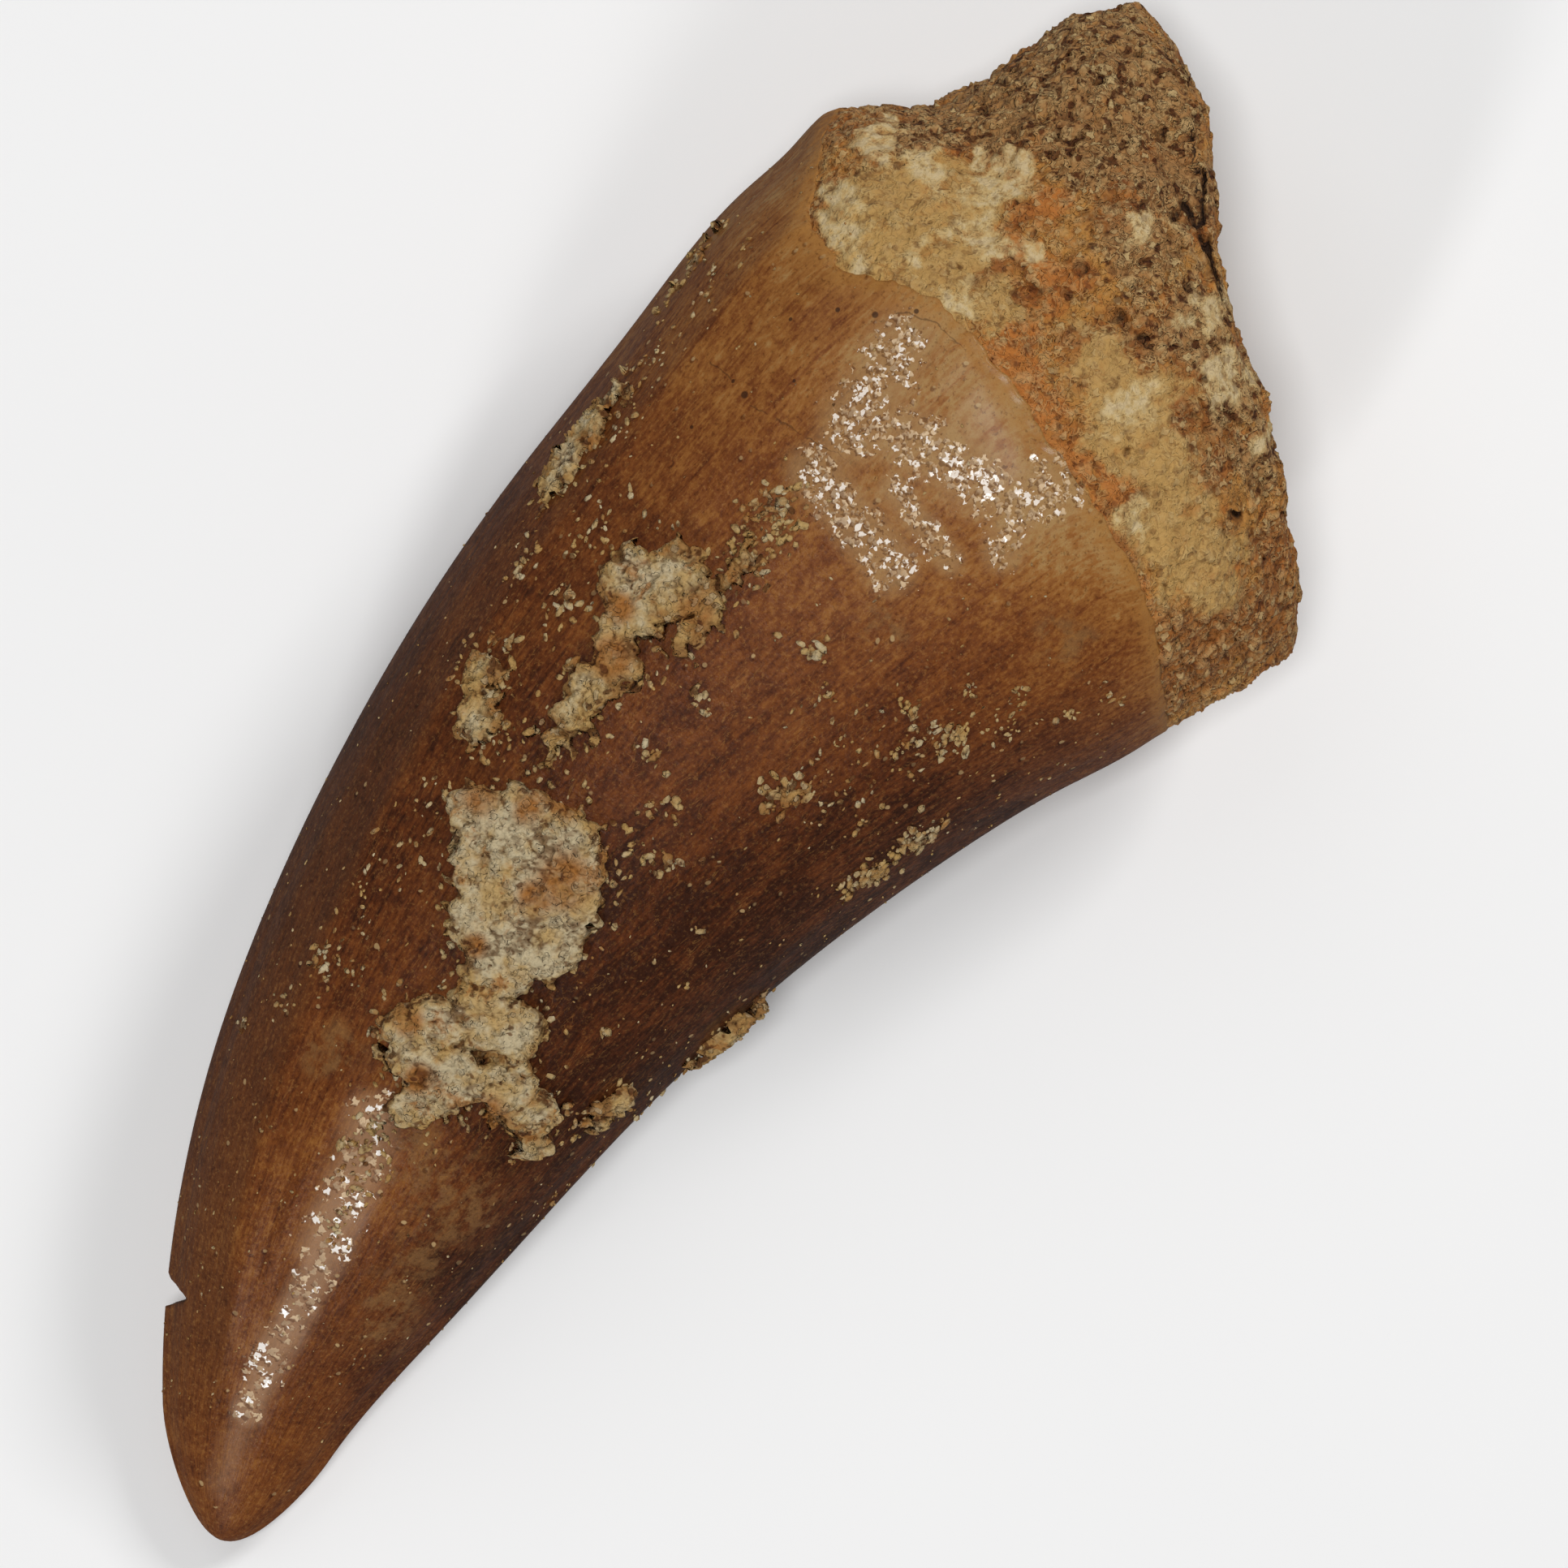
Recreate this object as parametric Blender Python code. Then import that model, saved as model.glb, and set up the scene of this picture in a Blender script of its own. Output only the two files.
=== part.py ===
"""Fossil mosasaur tooth lying on its side, with the stub of its root.

Crown, root and the sandy crusts cemented to them are one piece of stone.
The tooth lies on z = 0 with its length along X: tip at -X, broken root at +X,
convex edge facing +Y. The origin is under the middle of its box.
All sizes below are in millimetres and degrees, unless a name says otherwise.
"""

import math

import bmesh
import bpy
import numpy as np
from mathutils import Vector, noise

MM = 0.001

# Cross-sections from tip to broken rim: centre x and y, heading of the axis,
# half width across the keels, half depth, and squareness (2 is an ellipse)
SECTIONS = (
    (-29.12, -1.58, 17.0, 2.30, 1.60, 2.00),
    (-25.50, -0.55, 18.0, 2.91, 2.25, 2.00),
    (-20.73, 0.84, 17.0, 4.57, 3.80, 2.00),
    (-14.52, 1.95, 14.0, 6.17, 5.30, 2.05),
    (-7.84, 2.58, 9.0, 7.42, 6.40, 2.10),
    (-1.56, 2.64, 3.0, 8.45, 7.25, 2.15),
    (3.69, 2.27, -5.0, 9.26, 7.90, 2.20),
    (8.90, 1.53, -12.0, 10.13, 8.50, 2.25),
    (12.45, 0.93, -19.0, 10.88, 8.80, 2.25),
    (13.80, 0.60, -21.8, 11.07, 8.87, 2.25),
    (15.14, 0.27, -24.5, 11.22, 8.90, 2.25),
    (17.05, -1.18, -29.0, 10.72, 8.70, 2.25),
    (19.12, -1.95, -33.0, 10.92, 8.35, 2.20),
    (20.82, -2.67, -36.5, 11.09, 7.90, 2.20),
    (21.78, -3.30, -38.0, 10.87, 7.40, 2.20),
)
BOX_MIDDLE = (-0.25, -0.06)   # the middle of the box in the sections' own x and y
CROWN_BASE = 10               # the section where the enamel ends
TIP_CAP = 3.0                 # length over which the tip rounds to a point
TOP_SHARE = 0.92              # the upper face is flatter than the lower one
BOTTOM_SHARE = 1.04
BELLY_SINK = 0.05             # how much of the underside's middle is worn flat
TIP_SINK = 0.40               # how much of the tip's underside is worn flat
ROOT_SINK = 0.22              # how much of the root's underside is worn flat
KEEL = 0.28                   # height of the sharp edges of the crown
KEEL_WIDTH = 0.16             # as a share of the half depth
BAND_RIDGE = 0.14             # the soft ridge beside the convex edge
BAND_WIDTH = 2.3

# Where the enamel ends: angle around the tooth from the convex edge, over the
# upper face to the concave edge and back underneath, and the distance past the
# crown base section
ENAMEL_EDGE = (
    (0, 0.1), (26, -1.2), (40, -2.2), (55, -1.9), (63, -1.0), (72, -0.2),
    (90, 0.7), (104, 1.2), (118, 1.7), (134, 1.7), (149, 1.0), (167, 0.5),
    (185, 0.6), (210, 1.3), (240, 0.3), (270, -0.8), (300, -1.6), (330, -0.6),
)
ENAMEL_STEP = 0.26            # the enamel stands this far above the root
ROOT_LUMPS = ((4.2, 0.42), (1.7, 0.26), (0.8, 0.12))    # size and height
END_LUMPS = ((5.5, 0.90), (2.2, 0.40))

# How far the broken end bulges past its rim, by angle around the tooth
END_BULGE = (
    (0, 2.3), (20, 1.2), (50, 0.8), (90, 0.9), (120, 1.2), (150, 1.0),
    (180, 0.7), (220, 0.8), (270, 0.9), (305, 1.2), (330, 2.1), (348, 2.7),
)
CAVITY_DEPTH = 2.0            # the filled pulp cavity in the broken end
CAVITY_SHARE = 0.66           # its radius as a share of the end's

# Crusts of cemented sand: x, y and radius of each lump, and the crust's height
UPPER_CRUSTS = (
    (0.14, ((14.2, 11.3, 0.5), (13.1, 11.2, 0.5), (12.0, 11.1, 0.4))),
    (0.30, ((8.1, 10.3, 0.7), (7.0, 10.3, 0.9), (5.7, 10.3, 1.0), (4.8, 10.2, 0.7))),
    (0.50, ((4.0, 6.1, 1.3), (4.7, 5.0, 1.3), (4.5, 3.9, 0.8), (2.9, 5.2, 1.2),
            (3.5, 3.9, 0.6), (1.7, 5.1, 1.0), (0.5, 5.2, 0.9), (-0.6, 5.1, 0.8),
            (-1.6, 4.9, 0.6), (6.6, 3.7, 0.5), (5.8, 3.8, 0.5))),
    (0.28, ((-2.5, 7.3, 0.9), (-1.4, 8.3, 0.8))),
    (0.62, ((-5.0, 5.4, 1.2), (-4.1, 4.4, 1.2), (-3.9, 2.9, 1.1), (-4.4, 1.9, 1.0),
            (-5.6, 3.6, 2.0), (-5.6, 1.5, 1.1), (-6.9, 1.9, 1.8), (-8.3, 2.1, 1.2))),
    (0.62, ((-9.9, 1.5, 1.3), (-9.7, 0.4, 1.0), (-11.0, 2.5, 1.1), (-12.2, 2.4, 1.1),
            (-12.0, 1.2, 1.3), (-11.2, -0.2, 1.2), (-11.5, -1.5, 0.9),
            (-12.2, -2.1, 0.6), (-13.4, 1.4, 1.0), (-11.8, 3.1, 0.8))),
    (0.40, ((-4.9, -5.6, 0.8), (-5.8, -5.4, 1.0), (-6.6, -5.2, 0.7))),
    (0.40, ((-9.6, -3.4, 0.7), (-10.6, -3.3, 0.5))),
)
LOWER_CRUSTS = (
    (0.50, ((7.5, -3.8, 1.5), (6.1, -4.6, 1.2), (4.9, -3.9, 0.9), (8.6, -5.0, 0.9))),
    (0.42, ((-2.2, 6.4, 1.2), (-3.6, 6.2, 0.9), (-0.8, 6.9, 0.7))),
    (0.35, ((-9.0, 0.2, 0.9), (-10.2, 0.6, 0.7))),
)
CRUST_EDGE = 0.5              # the width of a crust's sloping edge
CRUST_LUMPS = ((1.3, 0.22), (0.6, 0.12))                # size and height

# The chip through the convex edge near the tip: its three corners from above
CHIP = ((-23.15, 4.95), (-23.42, 3.62), (-24.40, 4.30))
CUTTER_REACH = 6.0            # cutters run this far past the tooth

ROUND = 132                   # facets around the fine mesh
CROWN_STEP = 0.45             # spacing of its rings on the crown and the root
ROOT_STEP = 0.32
END_RINGS = 20
KEPT_SHARE = 0.245            # of the fine mesh's triangles after thinning


def clear_scene():
    for obj in list(bpy.data.objects):
        bpy.data.objects.remove(obj, do_unlink=True)


def natural_spline(knots, values, at):
    """Natural cubic spline through the values at the knots, read at other places."""
    gap = np.diff(knots)
    size = len(knots)
    matrix = np.eye(size)
    right = np.zeros(size)
    for i in range(1, size - 1):
        matrix[i, i - 1:i + 2] = gap[i - 1], 2 * (gap[i - 1] + gap[i]), gap[i]
        rise = (values[i + 1] - values[i]) / gap[i]
        fall = (values[i] - values[i - 1]) / gap[i - 1]
        right[i] = 6 * (rise - fall)
    bend = np.linalg.solve(matrix, right)
    i = np.clip(np.searchsorted(knots, at) - 1, 0, size - 2)
    a = (knots[i + 1] - at) / gap[i]
    b = 1 - a
    curve = (a**3 - a) * bend[i] + (b**3 - b) * bend[i + 1]
    return a * values[i] + b * values[i + 1] + curve * gap[i]**2 / 6


def smooth_step(value):
    value = np.clip(value, 0, 1)
    return value * value * (3 - 2 * value)


def around_table(pairs, angle):
    """A value given at a few angles in degrees, read between them."""
    angles, values = zip(*pairs)
    return np.interp(angle, angles, values, period=360)


TABLE = np.array(SECTIONS)
ALONG = np.concatenate(([0], np.cumsum(np.hypot(*np.diff(TABLE[:, :2], axis=0).T))))
CROWN_LENGTH = ALONG[CROWN_BASE]
LENGTH = ALONG[-1]


class Sections:
    """The smooth run of the cross-sections at distances along the tooth."""

    def __init__(self, along):
        read = [natural_spline(ALONG, column, along) for column in TABLE.T]
        heading = np.radians(read[2])
        self.centre = np.stack(read[:2], axis=-1)
        self.ahead = np.stack([np.cos(heading), np.sin(heading)], axis=-1)
        self.aside = np.stack([-np.sin(heading), np.cos(heading)], axis=-1)
        rounding = np.sqrt(1 - (1 - np.minimum(along / TIP_CAP, 1))**2)
        self.width = read[3] * rounding
        self.top = read[4] * rounding * TOP_SHARE
        self.bottom = read[4] * rounding * BOTTOM_SHARE
        self.power = 2 / read[5]
        share = along / CROWN_LENGTH
        sink = BELLY_SINK * np.clip(4 * share * (1 - share), 0, 1)
        sink = sink + TIP_SINK * (1 - smooth_step(share * 3))
        sink = sink + ROOT_SINK * smooth_step(share * 2 - 1)
        self.height = read[4] * BOTTOM_SHARE - sink


def section_points(part, angle, scale=1.0):
    """Points of each section at the angles: shape (sections, angles, 3)."""
    u = np.cos(angle)[None, :]
    v = np.sin(angle)[None, :]
    power = part.power[:, None]
    across = np.sign(u) * np.abs(u)**power
    up = np.sign(v) * np.abs(v)**power
    keel = np.minimum(KEEL, 0.1 * part.width[:, None])
    sharp = np.sign(u) * np.exp(-(up / KEEL_WIDTH)**2)
    across = across * (part.width[:, None] - keel) + keel * sharp
    depth = np.where(up > 0, part.top[:, None], part.bottom[:, None])
    flat = part.centre[:, None, :] + part.aside[:, None, :] * (across * scale)[..., None]
    return np.dstack([flat, part.height[:, None] + up * depth * scale])


def unit(vectors):
    return vectors / np.linalg.norm(vectors, axis=-1, keepdims=True)


def outward(part, angle):
    """Directions out of each section's plain oval, in the plane of the section."""
    across = np.cos(angle)[None, :] / part.width[:, None]
    up = np.sin(angle)[None, :] / part.bottom[:, None]
    return unit(np.dstack([part.aside[:, None, :] * across[..., None], up]))


def end_rings(angle):
    """Rings of the broken end, from its rim in to its middle, and their directions."""
    rim = Sections(np.array([LENGTH]))
    side = outward(rim, angle)[0]
    ahead = np.append(rim.ahead[0], 0)
    edge_bulge = around_table(END_BULGE, np.degrees(angle))
    rings = []
    facing = []
    for radius in np.linspace(1, 0, END_RINGS + 1)[1:-1]:
        bulge = edge_bulge.mean() + (edge_bulge - edge_bulge.mean()) * radius**2
        swell = bulge * (1 - radius**5)**0.6
        dish = CAVITY_DEPTH * smooth_step((CAVITY_SHARE + 0.2 - radius) / 0.4)
        ring = section_points(rim, angle, radius)[0]
        rings.append(ring + ahead * (swell - dish)[:, None])
        turned = smooth_step((1 - radius) / 0.35)
        facing.append(unit(side * (1 - turned) + ahead * turned))
    return np.array(rings), np.array(facing)


def ring_places():
    """Distances of the rings along the wall, closer together at the tip and root."""
    cap = TIP_CAP * (1 - np.cos(np.linspace(0, math.pi / 2, 9)[1:]))
    crown = np.arange(TIP_CAP + CROWN_STEP, CROWN_LENGTH - 3, CROWN_STEP)
    root = np.linspace(CROWN_LENGTH - 3, LENGTH, round((LENGTH - CROWN_LENGTH + 3) / ROOT_STEP))
    return np.concatenate([cap, crown, root])


def closed_mesh(rings, first, last):
    """Skin the rings and close both ends on a point each."""
    mesh = bmesh.new()
    loops = [[mesh.verts.new(point) for point in ring] for ring in rings]
    count = len(loops[0])
    tip = mesh.verts.new(first)
    end = mesh.verts.new(last)
    for i in range(count):
        j = (i + 1) % count
        for lower, upper in zip(loops, loops[1:]):
            mesh.faces.new((lower[i], upper[i], upper[j], lower[j]))
        mesh.faces.new((tip, loops[0][i], loops[0][j]))
        mesh.faces.new((end, loops[-1][j], loops[-1][i]))
    return mesh


def lumps(place, size, seed):
    """Smooth noise between about -1 and 1, with features of the given size."""
    return noise.noise(Vector(place) / size + Vector((seed, 0, 0)))


def crust_height(points, upper, crusts):
    """How far the crusts raise each point, from lumps set on one face."""
    raised = np.zeros(len(points))
    face = points[upper]
    for height, blobs in crusts:
        for x, y, radius in blobs:
            nearest = face[np.argmin(np.hypot(face[:, 0] - x, face[:, 1] - y))]
            away = np.linalg.norm(points - nearest, axis=1)
            near = np.nonzero(away < radius + 2 * CRUST_EDGE)[0]
            for i in near:
                edge = radius + 0.3 * lumps(points[i], 0.9, 7)
                share = smooth_step((edge - away[i]) / CRUST_EDGE + 0.5)
                raised[i] = max(raised[i], height * share)
    return raised


def layered(point, layers):
    """The sum of noise layers, each a size and a height."""
    return sum(height * lumps(point, size, size) for size, height in layers)


def relief(points, along, angle):
    """Height of the surface detail over the smooth body at each point."""
    past = along - CROWN_LENGTH - around_table(ENAMEL_EDGE, np.degrees(angle))
    root = smooth_step(past / 0.5)
    end = smooth_step(along - LENGTH)
    upper = np.sin(angle) >= 0
    crust = crust_height(points, upper, UPPER_CRUSTS)
    crust = np.maximum(crust, crust_height(points, ~upper, LOWER_CRUSTS))
    inward = Sections(along).width * (1 - np.cos(angle))
    band = BAND_RIDGE * np.exp(-((inward - BAND_WIDTH) / 0.6)**2) * upper
    band = band * smooth_step(along / 8) * (1 - root)
    height = band + crust - ENAMEL_STEP * root
    for i, point in enumerate(points):
        if root[i] > 0:
            height[i] += root[i] * layered(point, ROOT_LUMPS) + end[i] * layered(point, END_LUMPS)
        if crust[i] > 0.1:
            height[i] += layered(point, CRUST_LUMPS)
    return height


def fine_tooth():
    """The tooth's skin with all its relief, as a closed fine mesh."""
    angle = np.linspace(0, 2 * math.pi, ROUND, endpoint=False)
    places = ring_places()
    wall = Sections(places)
    end, end_facing = end_rings(angle)
    rings = np.concatenate([section_points(wall, angle), end])
    facing = np.concatenate([outward(wall, angle), end_facing])
    past_rim = LENGTH + np.linspace(0, 1, END_RINGS + 1)[1:-1] * 3
    along = np.repeat(np.concatenate([places, past_rim]), ROUND)
    around = np.tile(angle, len(rings))
    height = relief(rings.reshape(-1, 3), along, around).reshape(rings.shape[:2])
    rings = rings + facing * height[..., None]
    tip = section_points(Sections(np.zeros(1)), angle)[0].mean(axis=0)
    return closed_mesh(rings * MM, tip * MM, rings[-1].mean(axis=0) * MM)


def stone_material():
    material = bpy.data.materials.new("brown_fossil_enamel")
    material.use_nodes = True
    shader = material.node_tree.nodes["Principled BSDF"]
    shader.inputs["Base Color"].default_value = (0.30, 0.14, 0.05, 1.0)
    shader.inputs["Roughness"].default_value = 0.35
    shader.inputs["Metallic"].default_value = 0.0
    return material


def new_object(name, mesh):
    data = bpy.data.meshes.new(name)
    mesh.to_mesh(data)
    mesh.free()
    obj = bpy.data.objects.new(name, data)
    bpy.context.scene.collection.objects.link(obj)
    return obj


def prism(name, corners, low, high):
    """An upright block on the given corners, used only to cut."""
    mesh = bmesh.new()
    base = mesh.faces.new([mesh.verts.new((x * MM, y * MM, low * MM)) for x, y in corners])
    raised = bmesh.ops.extrude_face_region(mesh, geom=[base])["geom"]
    moved = [item for item in raised if isinstance(item, bmesh.types.BMVert)]
    bmesh.ops.translate(mesh, verts=moved, vec=(0, 0, (high - low) * MM))
    bmesh.ops.recalc_face_normals(mesh, faces=mesh.faces)
    cutter = new_object(name, mesh)
    cutter.hide_render = True
    cutter.display_type = "WIRE"
    return cutter


def cut(obj, cutter):
    modifier = obj.modifiers.new(cutter.name, "BOOLEAN")
    modifier.operation = "DIFFERENCE"
    modifier.solver = "EXACT"
    modifier.object = cutter


def main():
    clear_scene()
    tooth = new_object("fossil_tooth", fine_tooth())
    tooth.data.materials.append(stone_material())
    tooth.data.shade_smooth()
    thin = tooth.modifiers.new("thin", "DECIMATE")
    thin.ratio = KEPT_SHARE
    thin.use_collapse_triangulate = True
    chip = prism("chip_cutter", CHIP, -CUTTER_REACH, 2 * CUTTER_REACH)
    x = 0.5 * LENGTH + CUTTER_REACH
    y = SECTIONS[CROWN_BASE][3] + CUTTER_REACH
    ground = prism("ground_cutter", ((-x, -y), (x, -y), (x, y), (-x, y)), -CUTTER_REACH, 0)
    for cutter in (chip, ground):
        cutter.parent = tooth
        cut(tooth, cutter)
    tooth.location = (-BOX_MIDDLE[0] * MM, -BOX_MIDDLE[1] * MM, 0)


main()
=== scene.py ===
import math

import bmesh
import bpy
import numpy as np
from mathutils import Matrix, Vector, noise


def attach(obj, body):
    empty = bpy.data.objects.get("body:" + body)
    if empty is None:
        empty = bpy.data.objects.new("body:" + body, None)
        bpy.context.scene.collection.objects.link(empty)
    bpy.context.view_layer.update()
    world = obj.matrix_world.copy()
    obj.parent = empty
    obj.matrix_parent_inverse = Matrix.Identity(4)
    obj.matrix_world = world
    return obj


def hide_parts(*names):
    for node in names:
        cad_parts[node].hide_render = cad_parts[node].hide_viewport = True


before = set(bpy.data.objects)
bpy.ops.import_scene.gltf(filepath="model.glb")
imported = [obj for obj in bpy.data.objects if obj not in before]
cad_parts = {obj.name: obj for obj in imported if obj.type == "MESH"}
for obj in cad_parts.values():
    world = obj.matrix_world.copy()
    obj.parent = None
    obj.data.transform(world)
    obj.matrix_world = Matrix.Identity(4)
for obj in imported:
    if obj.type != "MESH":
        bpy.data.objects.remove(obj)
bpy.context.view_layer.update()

# The dressed fossil tooth: enamel crown, root, sandy crusts and loose grains,
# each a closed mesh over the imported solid. Sizes are in millimetres and degrees.
MM = 0.001
BODY = "root"
NODE = "fossil_tooth"

# Cross-sections from tip to broken rim: centre x and y, heading of the axis,
# half width across the keels, half depth, and squareness (2 is an ellipse)
SECTIONS = (
    (-29.18, -2.12, 17.0, 1.84, 1.60, 2.00),
    (-25.52, -0.50, 18.0, 2.98, 2.25, 2.00),
    (-20.72, 0.80, 17.0, 4.57, 3.80, 2.00),
    (-14.52, 1.94, 14.0, 6.16, 5.30, 2.05),
    (-7.84, 2.59, 9.0, 7.40, 6.40, 2.10),
    (-1.56, 2.63, 3.0, 8.45, 7.25, 2.15),
    (3.69, 2.25, -5.0, 9.25, 7.90, 2.20),
    (8.90, 1.51, -12.0, 10.13, 8.50, 2.25),
    (12.45, 0.92, -19.0, 10.89, 8.80, 2.25),
    (13.80, 0.60, -21.8, 11.08, 8.87, 2.25),
    (15.17, 0.31, -24.5, 11.30, 8.90, 2.25),
    (17.00, -1.27, -29.0, 10.68, 8.70, 2.25),
    (19.11, -1.97, -33.0, 10.98, 8.35, 2.20),
    (20.82, -2.68, -36.5, 11.10, 7.90, 2.20),
    (21.77, -3.31, -38.0, 10.90, 7.40, 2.20),
)
BOX_MIDDLE = (-0.25, -0.06)   # the middle of the box in the sections' own x and y
CROWN_BASE = 10               # the section where the enamel ends
TIP_CAP = 3.8                 # length over which the tip rounds to a point
TOP_SHARE = 0.92              # the upper face is flatter than the lower one
BOTTOM_SHARE = 1.04
BELLY_SINK = 0.05             # how much of the underside is worn flat in its middle,
TIP_SINK = 0.40               # at the tip
ROOT_SINK = 0.22              # and at the root
KEEL = 0.28                   # height of the sharp edges of the crown
KEEL_WIDTH = 0.16             # as a share of the half depth
BAND_RIDGE = 0.14             # the soft ridge beside the convex edge
BAND_WIDTH = 2.3
FLOW_RADIUS = 10.0            # of the cylinder that the surface's pattern is rolled out on

# Where the enamel ends: angle around the tooth from the convex edge, and the
# distance past the crown base section
ENAMEL_EDGE = (
    (0, 0.1), (26, -1.2), (40, -2.2), (55, -1.9), (63, -1.0), (72, -0.2),
    (90, 0.7), (104, 1.2), (118, 1.7), (134, 1.7), (149, 1.0), (167, 0.5),
    (185, 0.6), (210, 1.3), (240, 0.3), (270, -0.8), (300, -1.6), (330, -0.6),
)
ENAMEL_STEP = 0.26            # the enamel stands this far above the root
LIP_DROP = 0.09               # how far its lip rounds down
TUCK = 1.0                    # how far the root reaches under the enamel
TUCK_DEPTH = 0.55             # and how deep it dives there

# Noise that makes shapes uneven, in layers: size, height and seed
FLUTES = ((1.3, 0.035, 5), (0.45, 0.012, 9))
FLUTE_STRETCH = 0.10          # the flutes are drawn out along the tooth
EDGE_WANDER = ((0.9, 0.16, 21), (0.32, 0.10, 22))
ROOT_LUMPS = ((4.2, 0.42, 4.2), (1.7, 0.26, 1.7), (0.8, 0.12, 0.8))
END_LUMPS = ((5.5, 0.90, 5.5), (2.2, 0.40, 2.2))
CRUST_LUMPS = ((1.3, 0.22, 1.3), (0.6, 0.12, 0.6))

# Sand grains of the root: size and seed, how far each swells, how far it stands above
# the joints around it, and how much the grains differ in that
ROOT_GRAINS = ((0.52, 3, 0.15, 0.06, 0.17), (0.27, 8, 0.0, 0.04, 0.10))

# How far the broken end bulges past its rim, by angle around the tooth
END_BULGE = (
    (0, 1.7), (20, 1.3), (50, 1.3), (90, 0.7), (120, 1.1), (150, 0.9),
    (180, 0.7), (220, 0.9), (270, 0.7), (305, 1.9), (330, 2.4), (348, 2.5),
)
END_TRIM = (                  # more bulge, from the concave edge at -1 to the convex edge at 1
    (-1.0, -0.08), (-0.85, -0.10), (-0.62, 0.10), (-0.45, 0.13), (-0.25, 0.0), (0.05, -0.05),
    (0.14, -0.08), (0.19, -0.20), (0.24, 0.06), (0.30, 0.16), (0.40, 0.28), (0.55, 0.44),
    (0.80, 0.10), (1.0, -0.10),
)
CAVITY_DEPTH = 2.0            # the filled pulp cavity in the broken end
CAVITY_SHARE = 0.66           # its radius as a share of the end's
END_RUN = 3.0                 # from the rim to the end's middle, counted as distance along
GRAIN = 0.36                  # size of a crust's grains
CRUST_MARGIN = 0.9            # how far a crust's grid reaches past its lumps

# The chip through the convex edge near the tip: its three corners from above
CHIP = ((-23.15, 4.95), (-23.33, 3.46), (-24.40, 4.22))
CHIP_ALONG = (3, 10)          # distances along the tooth between which it lies

# Crusts of cemented sand: height, how pale it is, and x, y and radius of its lumps
UPPER_CRUSTS = (
    (0.05, 0.70, ((14.1, 11.1, 0.4), (13.0, 11.0, 0.4), (12.0, 10.9, 0.3))),
    (0.26, 0.62, ((8.1, 10.3, 0.7), (7.0, 10.2, 0.9), (5.7, 10.2, 1.0), (4.8, 10.1, 0.7))),
    (0.50, 0.38, (
        (4.0, 6.1, 1.3), (4.7, 5.0, 1.3), (4.5, 3.9, 0.8), (2.9, 5.2, 1.2), (3.5, 3.9, 0.6),
        (1.7, 5.1, 1.0), (0.5, 5.2, 0.9), (-0.6, 5.1, 0.8), (-1.6, 4.9, 0.6), (6.6, 3.7, 0.5),
        (5.8, 3.8, 0.5),
    )),
    (0.28, 0.45, ((-2.5, 7.3, 0.9), (-1.4, 8.3, 0.8))),
    (0.62, 0.85, (
        (-5.0, 5.4, 1.2), (-4.1, 4.4, 1.2), (-3.9, 2.9, 1.1), (-4.4, 1.9, 1.0), (-5.6, 3.6, 2.0),
        (-5.6, 1.5, 1.1), (-6.9, 1.9, 1.8), (-8.3, 2.1, 1.2), (-7.4, 3.4, 1.1),
    )),
    (0.62, 0.75, (
        (-9.9, 1.5, 1.3), (-9.7, 0.4, 1.0), (-11.0, 2.5, 1.1), (-12.2, 2.4, 1.1), (-12.0, 1.2, 1.3),
        (-11.2, -0.2, 1.2), (-11.5, -1.5, 0.9), (-12.2, -2.1, 0.6), (-13.4, 1.4, 1.0),
        (-11.8, 3.1, 0.8),
    )),
    (0.40, 0.35, ((-4.9, -5.6, 0.8), (-5.8, -5.4, 1.0), (-6.6, -5.2, 0.7))),
    (0.40, 0.40, ((-9.6, -3.4, 0.7), (-10.6, -3.3, 0.5))),
)
LOWER_CRUSTS = (
    (0.50, 0.7, ((7.5, -3.8, 1.5), (6.1, -4.6, 1.2), (4.9, -3.9, 0.9), (8.6, -5.0, 0.9))),
    (0.42, 0.5, ((-2.2, 6.4, 1.2), (-3.6, 6.2, 0.9), (-0.8, 6.9, 0.7))),
    (0.35, 0.5, ((-9.0, 0.2, 0.9), (-10.2, 0.6, 0.7))),
)

# Mesh densities
CROWN_AROUND = (285, 150)     # columns on the upper face and underneath
CROWN_RINGS = 188
CHIP_RINGS = (0.1383, 0.1757, 14)     # shares of the crown's length with more rings
TIP_RINGS = (0.065, 16)       # share up to which rings crowd towards the tip, and their number
LIP_RINGS = (0.988, 0.991, 0.9935, 0.996, 0.998, 1.0)      # shares where the enamel's lip has rings
TIP_AHEAD = (0.02, 0.005, 0)  # from the tip itself to the middle of the first ring
ROOT_AROUND = (330, 195)
ROOT_RINGS = 112
END_RINGS = 66
CRUST_GRID = 0.05
CAP_RINGS = 6                 # rings that close the crown inside the root

# The camera looks straight down; the photo's up is 52 degrees off the tooth's length
CAMERA_TURN = -52.0
CAMERA_AIM = (1.797, -1.440)  # the point under the picture's middle, in the sections' x and y
VIEW_WIDTH = 50.31            # what the picture spans at the height of the plane below
VIEW_PLANE = 8.0
LENS = 200.0
SENSOR = 36.0
CAMERA_RISE = VIEW_WIDTH * LENS / SENSOR      # how far above that plane the camera is


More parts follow.
